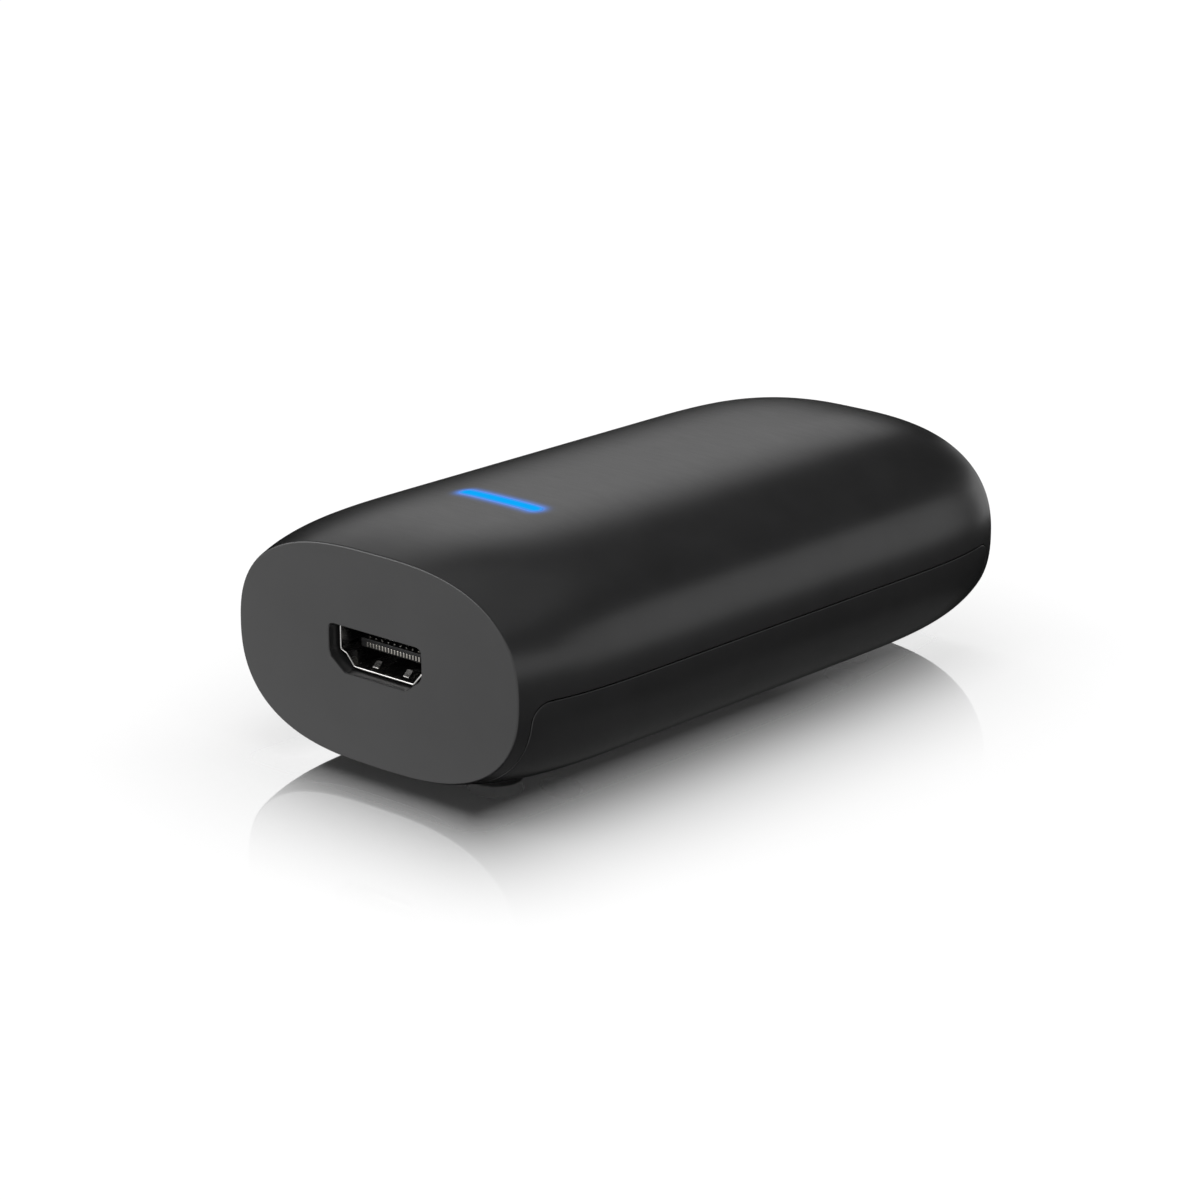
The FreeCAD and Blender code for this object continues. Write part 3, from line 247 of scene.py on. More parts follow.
# Table: its colour, what the camera sees on top of the lamps' light, and the mirror close to the case
TABLE_REACH = 3.0
TABLE_WHITE = 0.62
TABLE_GLOW = 0.4
FOOTPRINT = (14 * MM, 43 * MM)
MIRROR_REACH = (39 * MM, 36 * MM)
MIRROR_CORNER = 4.0
MIRROR_SHARE = 0.94
MIRROR_REAR_SHARE = 0.70
MIRROR_FADE = 2.3
MIRROR_ROUGHNESS = 0.03

# Light
WORLD_LEVEL = 0.85
LAMP_HEIGHT = 2.0
LAMP_SIZE = 1.2
LAMP_POWER = 9.0
CARD_DISTANCE = 2.0
CARD_STEP = 2
SCRIM_ELEVATION = 50
SCRIM_LEVEL = 0.33

# Panels that only gloss sees: a level, then corners as azimuth and elevation in degrees.
# Azimuth 0 is ahead of the video receptacle and 90 is to +X. Where panels overlap, the first counts.
ROOF_EDGE_PANEL = (0.44, [(-140, 33), (-124, 45), (-96, 51), (-104, 36), (-124, 33)])
ROOF_BAND_START = [(-152, 18), (-145, 12), (-134, 12), (-124, 20), (-108, 26)]
ROOF_BAND_END = [(-100, 50), (-124, 44), (-140, 32), (-152, 30)]
ROOF_BAND_PANEL = (0.9, ROOF_BAND_START + ROOF_BAND_END)
SIDE_BAND_PANEL = (0.88, [(118, -6), (154, -6), (156, 20), (146, 27), (118, 25)])
SIDE_PANEL = (1.0, [(60, 0), (118, 0), (118, 16), (60, 30)])
FAR_END_PANEL = (1.0, [(168, -10), (204, -10), (204, 10), (168, 12)])
MIRRORED_FACE_PANEL = (6.0, [(-66, 10), (-18, 10), (-18, 28), (-66, 28)])
FACE_PANEL = (1.1, [(-80, -45), (60, -45), (60, 30), (-80, 30)])
ROOF_FRONT_PANEL = (0.45, [(-98, 30), (-40, 30), (-40, 46), (-98, 48)])
COVER_PANEL = (0.10, [(110, -80), (215, -80), (215, -32), (110, -32)])
PANELS = (
    ROOF_EDGE_PANEL,
    ROOF_BAND_PANEL,
    SIDE_BAND_PANEL,
    SIDE_PANEL,
    FAR_END_PANEL,
    MIRRORED_FACE_PANEL,
    FACE_PANEL,
    ROOF_FRONT_PANEL,
    COVER_PANEL,
)


# Case form


def half_sizes(y, inset):
    """Half width, rise above and drop below the centre line of the section at y, drawn in by inset."""
    depth = np.minimum(HALF_LENGTH - np.abs(y), TAPER_LENGTH)
    share = 1 - (1 - depth / TAPER_LENGTH) ** TAPER_POWER
    half_width = FACE_HALF_WIDTH + (MID_HALF_WIDTH - FACE_HALF_WIDTH) * share
    rise = FACE_RISE + (MID_RISE - FACE_RISE) * share
    drop = FACE_DROP + (MID_DROP - FACE_DROP) * share
    return half_width - inset, rise - inset, drop - inset


def side_arc(y, inset, top, base, count):
    """Points down the +X side of a section from one height to another, evenly spaced. None is its end."""
    half_width, rise, drop = half_sizes(y, inset)
    heights = [CENTRE_Z + rise if top is None else top, CENTRE_Z - drop if base is None else base]
    turns = []
    for z in heights:
        size = rise if z >= CENTRE_Z else drop
        share = min(abs(z - CENTRE_Z) / size, 1.0)
        turns.append(math.copysign(math.asin(share ** (HEIGHT_POWER / 2)), z - CENTRE_Z))
    turn = np.linspace(turns[0], turns[1], FINE_STEPS)
    x, z = section_point(turn, half_width, rise, drop)
    reached = np.concatenate([[0], np.cumsum(np.hypot(np.diff(x), np.diff(z)))])
    turn = np.interp(np.linspace(0, reached[-1], count + 1), reached, turn)
    x, z = section_point(turn, half_width, rise, drop)
    if top is None:
        x[0] = 0.0
    if base is None:
        x[-1] = 0.0
    return list(zip(x, z))


def section_point(turn, half_width, rise, drop):
    across = half_width * np.clip(np.cos(turn), 0, 1) ** (2 / WIDTH_POWER)
    up = np.abs(np.sin(turn)) ** (2 / HEIGHT_POWER)
    return across, CENTRE_Z + np.where(turn >= 0, rise * up, -drop * up)


def form_value(points):
    """Zero on the case's outer surface, negative inside it."""
    half_width, rise, drop = half_sizes(points[:, 1], 0)
    up = points[:, 2] - CENTRE_Z
    tall = np.where(up >= 0, rise, drop)
    return (np.abs(points[:, 0]) / half_width) ** WIDTH_POWER + (np.abs(up) / tall) ** HEIGHT_POWER - 1


def form_normals(points):
    step = 1e-6
    slopes = []
    for axis in range(3):
        move = np.zeros(3)
        move[axis] = step
        slopes.append(form_value(points + move) - form_value(points - move))
    slopes = np.stack(slopes, 1)
    return slopes / np.maximum(np.linalg.norm(slopes, axis=1, keepdims=True), 1e-12)


def stations(gap):
    """Rows from end to end as (y, height of the parting line, its lean), for a line drawn in by gap.

    The lean is the turn of the line's upward direction towards the end it is near.
    """
    corner_y = SEAM_REACH - SEAM_CORNER
    corner_z = SEAM_Z - SEAM_CORNER
    radius = SEAM_CORNER - gap
    taper_y = HALF_LENGTH - TAPER_LENGTH
    half = [(y, corner_z + radius, 0.0) for y in np.linspace(0, taper_y, MIDDLE_ROWS + 1)]
    half += [(y, corner_z + radius, 0.0) for y in np.linspace(taper_y, corner_y, TAPER_ROWS + 1)[1:]]
    for lean in np.linspace(0, math.pi / 2, CORNER_ROWS + 1)[1:]:
        half.append((corner_y + radius * math.sin(lean), corner_z + radius * math.cos(lean), lean))
    return [(-y, z, -lean) for y, z, lean in reversed(half[1:])] + half


def mirrored(arc):
    """A +X side arc that starts on the middle line, with its -X twin before it."""
    return [(-x, z) for x, z in reversed(arc[1:])] + arc


def full_loop(y, inset, split):
    """Closed loop of a section: over the roof from split to split, then back under the belly."""
    upper = mirrored(side_arc(y, inset, None, split, UPPER_COLUMNS))
    belly = side_arc(y, inset, split, None, BELLY_COLUMNS)[1:]
    return upper + belly + [(-x, z) for x, z in reversed(belly[:-1])]


# Mesh building


class Builder:
    """Collects vertices and faces of one closed mesh."""

    def __init__(self):
        self.mesh = bmesh.new()

    def point(self, place):
        return self.mesh.verts.new(place)

    def row(self, y, points):
        return [self.point((x, y, z)) for x, z in points]

    def face(self, corners):
        self.mesh.faces.new(corners)

    def bridge(self, one, other, closed):
        count = len(one)
        for i in range(count if closed else count - 1):
            j = (i + 1) % count
            self.face([one[i], one[j], other[j], other[i]])

    def prism(self, outline, low, high, axis):
        """Closed solid whose outline runs from low to high along an axis.

        The outline's points are (y, z) for X, (x, z) for Y and (x, y) for Z.
        """
        ends = []
        for level in (low, high):
            if axis == "X":
                places = [(level, a, b) for a, b in outline]
            elif axis == "Y":
                places = [(a, level, b) for a, b in outline]
            else:
                places = [(a, b, level) for a, b in outline]
            ends.append([self.point(place) for place in places])
        self.bridge(ends[0], ends[1], True)
        for end in ends:
            self.face(end)

    def finish(self, name):
        bmesh.ops.recalc_face_normals(self.mesh, faces=self.mesh.faces[:])
        data = bpy.data.meshes.new(name)
        self.mesh.to_mesh(data)
        self.mesh.free()
        piece = bpy.data.objects.new(name, data)
        bpy.context.scene.collection.objects.link(piece)
        return piece


def bezier(start, corner, end, steps):
    """Points after start along a curve that turns at corner, up to and with end."""
    shares = [step / steps for step in range(1, steps + 1)]
    return [(1 - t) ** 2 * start + 2 * t * (1 - t) * corner + t * t * end for t in shares]


def edge_roll(build, outer, lines, leans):
    """Strip that rolls the parting edge from the outer surface into the parting surface.

    outer holds the mesh points where the roll begins, lines the parting line itself and leans the
    direction square to it, away from the parting surface. Returns the points where the roll ends.
    """
    normals = form_normals(np.array(lines))
    curves = []
    for vertex, line, lean, normal in zip(outer, lines, leans, normals):
        inward = lean * np.dot(normal, lean) - normal
        inward = inward / np.linalg.norm(inward)
        line = np.array(line)
        curves.append(bezier(np.array(vertex.co), line, line + SEAM_EDGE * inward, EDGE_ROWS))
    before = outer
    for step in range(EDGE_ROWS):
        after = [build.point(curve[step]) for curve in curves]
        build.bridge(before, after, True)
        before = after
    return before


def parting_line(y, z, lean):
    """Point of the parting line on the +X side and the upward direction square to it in side view."""
    half_width, rise, drop = half_sizes(y, 0)
    size = rise if z >= CENTRE_Z else drop
    x = half_width * (1 - (abs(z - CENTRE_Z) / size) ** HEIGHT_POWER) ** (1 / WIDTH_POWER)
    return (x, y, z), np.array((0.0, math.sin(lean), math.cos(lean)))


def seam_loop(gap, side):
    """The parting line as one closed loop: +X side, +Y end, -X side, -Y end.

    side is 1 for the piece above the line and -1 for the one below it. Returns the points, the direction
    into the piece at each, and the number of points along one side.
    """
    rows = stations(gap)
    reach = rows[-1][0]
    split = rows[-1][1]
    belly = side_arc(reach, 0, split, None, BELLY_COLUMNS)[1:]
    belly += [(-x, z) for x, z in reversed(belly[:-1])]
    right = [parting_line(*row) for row in rows]
    left = [((-x, y, z), lean) for (x, y, z), lean in reversed(right)]
    front = [((-x, -reach, z), np.array((0.0, -1.0, 0.0))) for x, z in belly]
    rear = [((x, reach, z), np.array((0.0, 1.0, 0.0))) for x, z in belly]
    loop = right + rear + left + front
    return [point for point, lean in loop], [side * lean for point, lean in loop], len(rows)


def close_parting(build, ends, rows):
    """Faces across the parting surface, from side to side and down each end."""
    right = ends[:rows]
    belly = (len(ends) - 2 * rows) // 2
    rear = ends[rows : rows + belly]
    left = ends[rows + belly : 2 * rows + belly]
    front = ends[2 * rows + belly :]
    left_along = left[::-1]
    build.bridge(right, left_along, False)
    build.face([right[-1]] + rear + [left[0]])
    build.face([left[-1]] + front + [right[0]])


def end_rings(build, start, side, split):
    """Rings from the parting line out to the end face, its edge rounded, and the face itself."""
    loops = [start]
    first = SEAM_REACH + SEAM_EDGE
    for y in np.linspace(first, HALF_LENGTH - FACE_EDGE, END_ROWS)[1:]:
        loops.append(build.row(side * y, full_loop(y, 0, split)))
    before = np.array([v.co for v in loops[-1]])
    corner = np.array([(x, side * HALF_LENGTH, z) for x, z in full_loop(HALF_LENGTH, 0, split)])
    after = np.array([(x, side * HALF_LENGTH, z) for x, z in full_loop(HALF_LENGTH, FACE_EDGE, split)])
    for curve in bezier(before, corner, after, EDGE_ROWS):
        loops.append([build.point(place) for place in curve])
    for one, other in zip(loops, loops[1:]):
        build.bridge(one, other, True)
    build.face(loops[-1])


def housing_block():
    """The case above the parting line, solid, with both ends."""
    build = Builder()
    lines, leans, count = seam_loop(0, 1)
    rows = []
    for line, lean in zip(lines[:count], leans[:count]):
        y = line[1] + SEAM_EDGE * lean[1]
        z = line[2] + SEAM_EDGE * lean[2]
        rows.append(build.row(y, mirrored(side_arc(y, 0, None, z, UPPER_COLUMNS))))
    for one, other in zip(rows, rows[1:]):
        build.bridge(one, other, False)
    split = lines[0][2]
    reach = SEAM_REACH + SEAM_EDGE
    belly = full_loop(reach, 0, split)[2 * UPPER_COLUMNS + 1 :]
    rear = build.row(reach, belly)
    front = build.row(-reach, belly)
    end_rings(build, rows[-1] + rear, 1, split)
    end_rings(build, rows[0] + front, -1, split)
    outer = [row[-1] for row in rows] + rear + [row[0] for row in reversed(rows)] + front[::-1]
    close_parting(build, edge_roll(build, outer, lines, leans), count)
    return build.finish("housing_shell")


def cover_block():
    """The case below the parting line, solid, between its ends."""
    build = Builder()
    lines, leans, count = seam_loop(PARTING_GAP, -1)
    rows = []
    for line, lean in zip(lines[:count], leans[:count]):
        y = line[1] + SEAM_EDGE * lean[1]
        z = line[2] + SEAM_EDGE * lean[2]
        arc = side_arc(y, 0, z, None, BELLY_COLUMNS)
        rows.append(build.row(y, arc + [(-x, z) for x, z in reversed(arc[:-1])]))
    for one, other in zip(rows, rows[1:]):
        build.bridge(one, other, False)
    outer = [row[0] for row in rows] + rows[-1][1:-1]
    outer += [row[-1] for row in reversed(rows)] + rows[0][-2:0:-1]
    close_parting(build, edge_roll(build, outer, lines, leans), count)
    return build.finish("cover_shell")


def form_solid(inset, reach):
    """Closed solid of the case form, drawn in by inset, between the ends at plus and minus reach."""
    build = Builder()
    places = np.linspace(-reach, reach, FORM_ROWS)
    rows = [build.row(y, full_loop(abs(y), inset, SEAM_Z)) for y in places]
    for one, other in zip(rows, rows[1:]):
        build.bridge(one, other, True)
    build.face(rows[0])
    build.face(rows[-1])
    return build.finish("tool")


def prisms(outlines, low, high, axis):
    build = Builder()
    for outline in outlines:
        build.prism(outline, low, high, axis)
    return build.finish("tool")


def rectangle(low, high):
    return [(low[0], low[1]), (high[0], low[1]), (high[0], high[1]), (low[0], high[1])]


def circle(centre, radius, count=64):
    turns = [2 * math.pi * i / count for i in range(count)]
    return [(centre[0] + radius * math.cos(t), centre[1] + radius * math.sin(t)) for t in turns]


def stadium(centre, length, width, count=24):
    """Outline of a bar with round ends."""
    straight = (length - width) / 2
    turns = [-math.pi / 2 + math.pi * i / count for i in range(count + 1)]
    right = [(straight + width / 2 * math.cos(t), width / 2 * math.sin(t)) for t in turns]
    outline = right + [(-x, -y) for x, y in right]
    return [(centre[0] + x, centre[1] + y) for x, y in outline]


def rounded_outline(corners, radius, count=5):
    """Polygon with its corners rounded off."""
    outline = []
    total = len(corners)
    for i, corner in enumerate(corners):
        at = Vector(corner)
        back = Vector(corners[i - 1]) - at
        ahead = Vector(corners[(i + 1) % total]) - at
        half = back.angle(ahead) / 2
        reach = radius / math.tan(half)
        start = at + back.normalized() * reach
        end = at + ahead.normalized() * reach
        for step in range(count + 1):
            t = step / count
            outline.append(tuple((1 - t) ** 2 * start + 2 * t * (1 - t) * at + t * t * end))
    return outline


def combine(piece, tool, operation):
    """Boolean of two closed meshes; the tool is used up."""
    change = piece.modifiers.new("combine", "BOOLEAN")
    change.operation = operation
    change.solver = "MANIFOLD"
    change.object = tool
    bpy.context.view_layer.update()
    graph = bpy.context.evaluated_depsgraph_get()
    mesh = bpy.data.meshes.new_from_object(piece.evaluated_get(graph))
    piece.modifiers.clear()
    old = piece.data
    piece.data = mesh
    bpy.data.meshes.remove(old)
    bpy.data.objects.remove(tool)
    return piece


def smooth(piece):
    """Smooth shading that breaks at sharp edges and, on the case's outside, follows the form exactly."""
    mesh = piece.data
    mesh.shade_smooth()
    mesh.set_sharp_from_angle(angle=math.radians(SHARP_DEGREES))
    points = np.zeros(len(mesh.vertices) * 3)
    mesh.vertices.foreach_get("co", points)
    points = points.reshape(-1, 3)
    flat = np.zeros(len(mesh.polygons) * 3)
    mesh.polygons.foreach_get("normal", flat)
    flat = flat.reshape(-1, 3)
    sizes = np.zeros(len(mesh.polygons), np.int32)
    mesh.polygons.foreach_get("loop_total", sizes)
    corners = np.zeros(len(mesh.loops), np.int32)
    mesh.loops.foreach_get("vertex_index", corners)
    face_of = np.repeat(np.arange(len(sizes)), sizes)
    exact = form_normals(points)
    on_form = np.abs(form_value(points)) < ON_FORM
    keep = on_form[corners] & ((exact[corners] * flat[face_of]).sum(1) > SAME_WAY)
    normals = np.where(keep[:, None], exact[corners], 0.0)
    mesh.normals_split_custom_set(normals.tolist())
    return piece


# Shells


def spots_of(node):
    """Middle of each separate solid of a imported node, seen from above."""
    places = [v.co.xy for v in frame["nodes"][node].data.vertices]
    spots = []
    for place in places:
        near = [spot for spot in spots if (spot[0] - place).length < SPOT_SPREAD]
        if near:
            near[0].append(place)
        else:
            spots.append([place])
    middles = []
    for spot in spots:
        spot = np.array(spot)
        middles.append(tuple((spot.min(0) + spot.max(0)) / 2))
    return middles


def port_outline():
    """Opening in the front end wall round the video receptacle."""
    top = receptacle_high.z + PORT_TOP_GAP
    base = BOARD_TOP - PORT_BASE_DROP
    right = [(PORT_HALF_WIDTH, top), (PORT_HALF_WIDTH, base + PORT_SIDE_END)]
    right += [(PORT_KNEE_HALF_WIDTH, base + PORT_KNEE), (PORT_BASE_HALF_WIDTH, base)]
    return rounded_outline(right + [(-x, z) for x, z in reversed(right)], PORT_CORNER)


def jack_outline():
    """Opening in the rear end wall round the network jack."""
    low = (-JACK_OPENING_HALF_WIDTH, jack_low.z - JACK_GAP)
    high = (JACK_OPENING_HALF_WIDTH, jack_high.z + JACK_GAP)
    return rounded_outline(rectangle(low, high), JACK_OPENING_CORNER)


def mouth_outline(grow, radius):
    """Mouth of the video receptacle, wide side up, grown all round and its corners rounded."""
    top = receptacle_high.z - SHELL_SHEET
    side_end = top - MOUTH_SIDE_HEIGHT
    step = (MOUTH_STEP_HALF_WIDTH, side_end - MOUTH_STEP_DROP)
    base = (MOUTH_BASE_HALF_WIDTH, top - MOUTH_HEIGHT)
    right = [(MOUTH_HALF_WIDTH, top), (MOUTH_HALF_WIDTH, side_end), step, base]
    corners = [Vector(place) for place in right] + [Vector((-x, z)) for x, z in reversed(right)]
    moved = []
    for i, corner in enumerate(corners):
        back = (corner - corners[i - 1]).normalized()
        ahead = (corners[(i + 1) % len(corners)] - corner).normalized()
        outward = Vector((-back.y, back.x)) + Vector((-ahead.y, ahead.x))
        moved.append(tuple(corner + outward * grow / (1 + back.dot(ahead))))
    return rounded_outline(moved, radius)


def chamfer(outline, level, outward):
    """Solid that breaks the edge of an opening in an end face at level, on its outward side."""
    outline = np.array(outline)
    size = outline.max(0) - outline.min(0)
    middle = (outline.max(0) + outline.min(0)) / 2
    build = Builder()
    loops = []
    for grow in (0.0, 2 * OPENING_CHAMFER):
        scale = 1 + 2 * grow / size
        y = level + outward * (grow - OPENING_CHAMFER)
        loops.append(build.row(y, middle + scale * (outline - middle)))
    build.bridge(loops[0], loops[1], True)
    for loop in loops:
        build.face(loop)
    return build.finish("tool")


def inside_case(tool):
    """Cuts a solid back to what lies well within the case's wall."""
    return combine(tool, form_solid(WALL / 2, HALF_LENGTH - WALL / 2), "INTERSECT")


def rim_band(inset, depth):
    """Solid within the case that reaches down past the parting line by depth."""
    below = prisms([rectangle((-FAR, -FAR), (FAR, SEAM_Z - depth))], -FAR, FAR, "Y")
    return combine(form_solid(inset, HALF_LENGTH - SEAM_END_INSET / 2), below, "DIFFERENCE")


def add_posts(shell):
    """Screw bosses and board posts under the roof, with their pilot holes."""
    bosses = spots_of("cover_screws")
    board_posts = spots_of("board_screws")
    posts = [circle(spot, BOSS_RADIUS) for spot in bosses]
    posts += [circle(spot, POST_RADIUS) for spot in board_posts]
    shell = combine(shell, inside_case(prisms(posts, BOARD_TOP, FAR, "Z")), "UNION")
    pilots = [circle(spot, PILOT_RADIUS) for spot in bosses]
    shell = combine(shell, prisms(pilots, 0, PILOT_TOP, "Z"), "DIFFERENCE")
    pilots = [circle(spot, BOARD_PILOT_RADIUS) for spot in board_posts]
    return combine(shell, prisms(pilots, 0, BOARD_PILOT_TOP, "Z"), "DIFFERENCE")


def add_light_slot(shell):
    """Pad under the roof and the light bar's slot through both."""
    half = (LIGHT_LENGTH / 2 + PAD_OVERHANG, LIGHT_WIDTH / 2 + PAD_OVERHANG)
    pad = rectangle((-half[0], LIGHT_Y - half[1]), (half[0], LIGHT_Y + half[1]))
    shell = combine(shell, inside_case(prisms([pad], LIGHT_PAD_Z, FAR, "Z")), "UNION")
    slot = stadium((0, LIGHT_Y), LIGHT_LENGTH, LIGHT_WIDTH)
    return combine(shell, prisms([slot], CENTRE_Z, FAR, "Z"), "DIFFERENCE")


def cut_openings(shell):
    """Video opening in the front end wall, jack opening and pinhole in the rear one, their edges broken."""
    button_low, button_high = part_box("reset_button")
    middle = (button_low + button_high) / 2
    front = port_outline()
    rear = [jack_outline(), circle((middle.x, middle.z), PINHOLE_RADIUS, PINHOLE_STEPS)]
    shell = combine(shell, prisms([front], -FAR, -INNER_END + PAST_WALL, "Y"), "DIFFERENCE")
    shell = combine(shell, chamfer(front, -HALF_LENGTH, -1), "DIFFERENCE")
    shell = combine(shell, prisms(rear, INNER_END - PAST_WALL, FAR, "Y"), "DIFFERENCE")
    for outline in rear:
        shell = combine(shell, chamfer(outline, HALF_LENGTH, 1), "DIFFERENCE")
    return shell


def housing():
    """Hollow upper housing with the lip that goes down inside the cover."""
    plug = form_solid(WALL + PARTING_GAP, HALF_LENGTH - WALL / 2)
    shell = combine(housing_block(), plug, "UNION")
    shell = combine(shell, rim_band(WALL - LIP_THICKNESS, LIP_DEPTH), "UNION")
    shell = combine(shell, form_solid(WALL, INNER_END), "DIFFERENCE")
    return smooth(cut_openings(add_light_slot(add_posts(shell))))


def cover():
    """Hollow lower cover with its screw columns and foot recesses."""
    shell = combine(cover_block(), form_solid(WALL, HALF_LENGTH), "DIFFERENCE")
    groove = rim_band(WALL - LIP_THICKNESS - LIP_CLEARANCE, LIP_DEPTH + LIP_CLEARANCE)
    shell = combine(shell, groove, "DIFFERENCE")
    screws = spots_of("cover_screws")
    columns = prisms([circle(spot, COLUMN_RADIUS) for spot in screws], -FAR, BOARD_BOTTOM, "Z")
    shell = combine(shell, inside_case(columns), "UNION")
    seats = prisms([circle(spot, HEAD_HOLE_RADIUS) for spot in screws], -FAR, SCREW_SEAT_Z, "Z")
    shell = combine(shell, seats, "DIFFERENCE")
    holes = prisms([circle(spot, SHANK_HOLE_RADIUS) for spot in screws], -FAR, FAR, "Z")
    shell = combine(shell, holes, "DIFFERENCE")
    feet = [circle(spot, FOOT_HOLE_RADIUS) for spot in spots_of("rubber_feet")]
    foot_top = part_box("rubber_feet")[1].z
    return smooth(combine(shell, prisms(feet, -FAR, foot_top, "Z"), "DIFFERENCE"))


# Video receptacle


def round_edges(piece, width):
    bevel = piece.modifiers.new("round_edges", "BEVEL")
    bevel.width = width
    bevel.segments = 2
    bevel.limit_method = "ANGLE"
    bevel.angle_limit = math.radians(ROUNDED_DEGREES)
    return piece


def spring_finger(wall, inward):
    """Side view of a spring finger bent out of the shell's wall into the mouth."""
    front = RIM_Y + FINGER_FROM_RIM
    skin = [(front, wall + inward * FINGER_LIP)]
    skin.append((front + FINGER_RAMP, wall + inward * FINGER_RISE))
    skin.append((front + FINGER_LENGTH, wall))
    return skin + [(y, z - inward * FINGER_SHEET) for y, z in reversed(skin)]


def sheet_section():
    """Section of the shell's sheet as (how far out, y), from the rear round the rim and back."""
    section = [(SHELL_SHEET, SHELL_REAR_Y)]
    for centre, start in ((SHELL_SHEET - RIM_BEND, 0.0), (RIM_BEND, math.pi / 2)):
        for step in range(RIM_STEPS + 1):
            turn = start + math.pi / 2 * step / RIM_STEPS
            out = centre + RIM_BEND * math.cos(turn)
            section.append((out, RIM_Y + RIM_BEND - RIM_BEND * math.sin(turn)))
    return section + [(0.0, SHELL_REAR_Y)]


def receptacle_shell():
    """Formed sheet shell with a bent rim, four spring fingers and its solder legs."""
    build = Builder()
    loops = [build.row(y, mouth_outline(out, MOUTH_CORNER + out)) for out, y in sheet_section()]
    for one, other in zip(loops, loops[1:] + loops[:1]):
        build.bridge(one, other, True)
    top = receptacle_high.z - SHELL_SHEET
    for x in (-FINGER_X, FINGER_X):
        for wall, inward in ((top - MOUTH_HEIGHT, 1), (top, -1)):
            build.prism(spring_finger(wall, inward), x - FINGER_WIDTH / 2, x + FINGER_WIDTH / 2, "X")
    half = SHELL_SHEET / 2
    side = MOUTH_HALF_WIDTH + half
    for x in (-side, side):
        for along in LEGS_FROM_RIM:
            low = (RIM_Y + along - LEG_WIDTH / 2, receptacle_low.z)
            high = (RIM_Y + along + LEG_WIDTH / 2, top - MOUTH_SIDE_HEIGHT + 2 * SHELL_SHEET)
            build.prism(rectangle(low, high), x - half, x + half, "X")
    return smooth(build.finish("receptacle_shell"))


def receptacle_insulator():
    """Black body at the back of the shell and the tongue that carries the contacts."""
    low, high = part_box("hdmi_insulator")
    build = Builder()
    body_front = high.y - INSULATOR_LENGTH
    build.prism(mouth_outline(-INSULATOR_GAP, MOUTH_CORNER), body_front, high.y, "Y")
    half = TONGUE_THICKNESS / 2
    tongue = rectangle((-TONGUE_HALF_WIDTH, TONGUE_Z - half), (TONGUE_HALF_WIDTH, TONGUE_Z + half))
    build.prism(tongue, low.y, body_front + INSULATOR_GAP, "Y")
    return round_edges(build.finish("receptacle_insulator"), INSULATOR_EDGE)


def contact_strip(side):
    """Side view of a contact strip on the tongue's upper side, 1, or lower side, -1, to its solder foot."""
    low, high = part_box("hdmi_contacts")
    face = TONGUE_Z + side * TONGUE_THICKNESS / 2
    skin = face + side * CONTACT_SHEET
    crest = (TONGUE_TIP_Y + CREST_FROM_TIP, skin + side * CREST_RISE)
    start = crest[0] - CREST_HALF_LENGTH
    end = crest[0] + CREST_HALF_LENGTH
    foot = low.z
    rear = high.y - CONTACT_FOOT
    drop = [(rear, skin), (rear, foot + CONTACT_SHEET), (high.y, foot + CONTACT_SHEET), (high.y, foot)]
    back = [(rear - CONTACT_SHEET, foot), (rear - CONTACT_SHEET, face)]
    return [(start, face), (start, skin), crest, (end, skin)] + drop + back


def receptacle_contacts():
    """Nineteen contacts: a comb of tips on the tongue's front edge and the strips behind them."""
    build = Builder()
    half = CONTACT_WIDTH / 2
    tip_low = (TONGUE_TIP_Y - CONTACT_TIP_PROUD, TONGUE_Z + CONTACT_TIP_LOW)
    tip = rectangle(tip_low, (TONGUE_TIP_Y, TONGUE_Z + CONTACT_TIP_HIGH))
    for number in range(CONTACTS):
        x = (number - (CONTACTS - 1) / 2) * CONTACT_SPACING
        side = 1 if number % 2 == 0 else -1
        build.prism(tip, x - half, x + half, "X")
        build.prism(contact_strip(side), x - half, x + half, "X")
    return round_edges(build.finish("receptacle_contacts"), CONTACT_EDGE)


# Materials


def add_node(tree, kind, inputs=(), **settings):
    """New node; each input is a constant or the output of another node."""
    made = tree.nodes.new(kind)
    for name, value in settings.items():
        setattr(made, name, value)
    for socket, value in dict(inputs).items():
        if isinstance(value, bpy.types.NodeSocket):
            tree.links.new(value, made.inputs[socket])
        else:
            made.inputs[socket].default_value = value
    return made


def rgba(colour):
    return (*colour, 1) if isinstance(colour, tuple) else colour


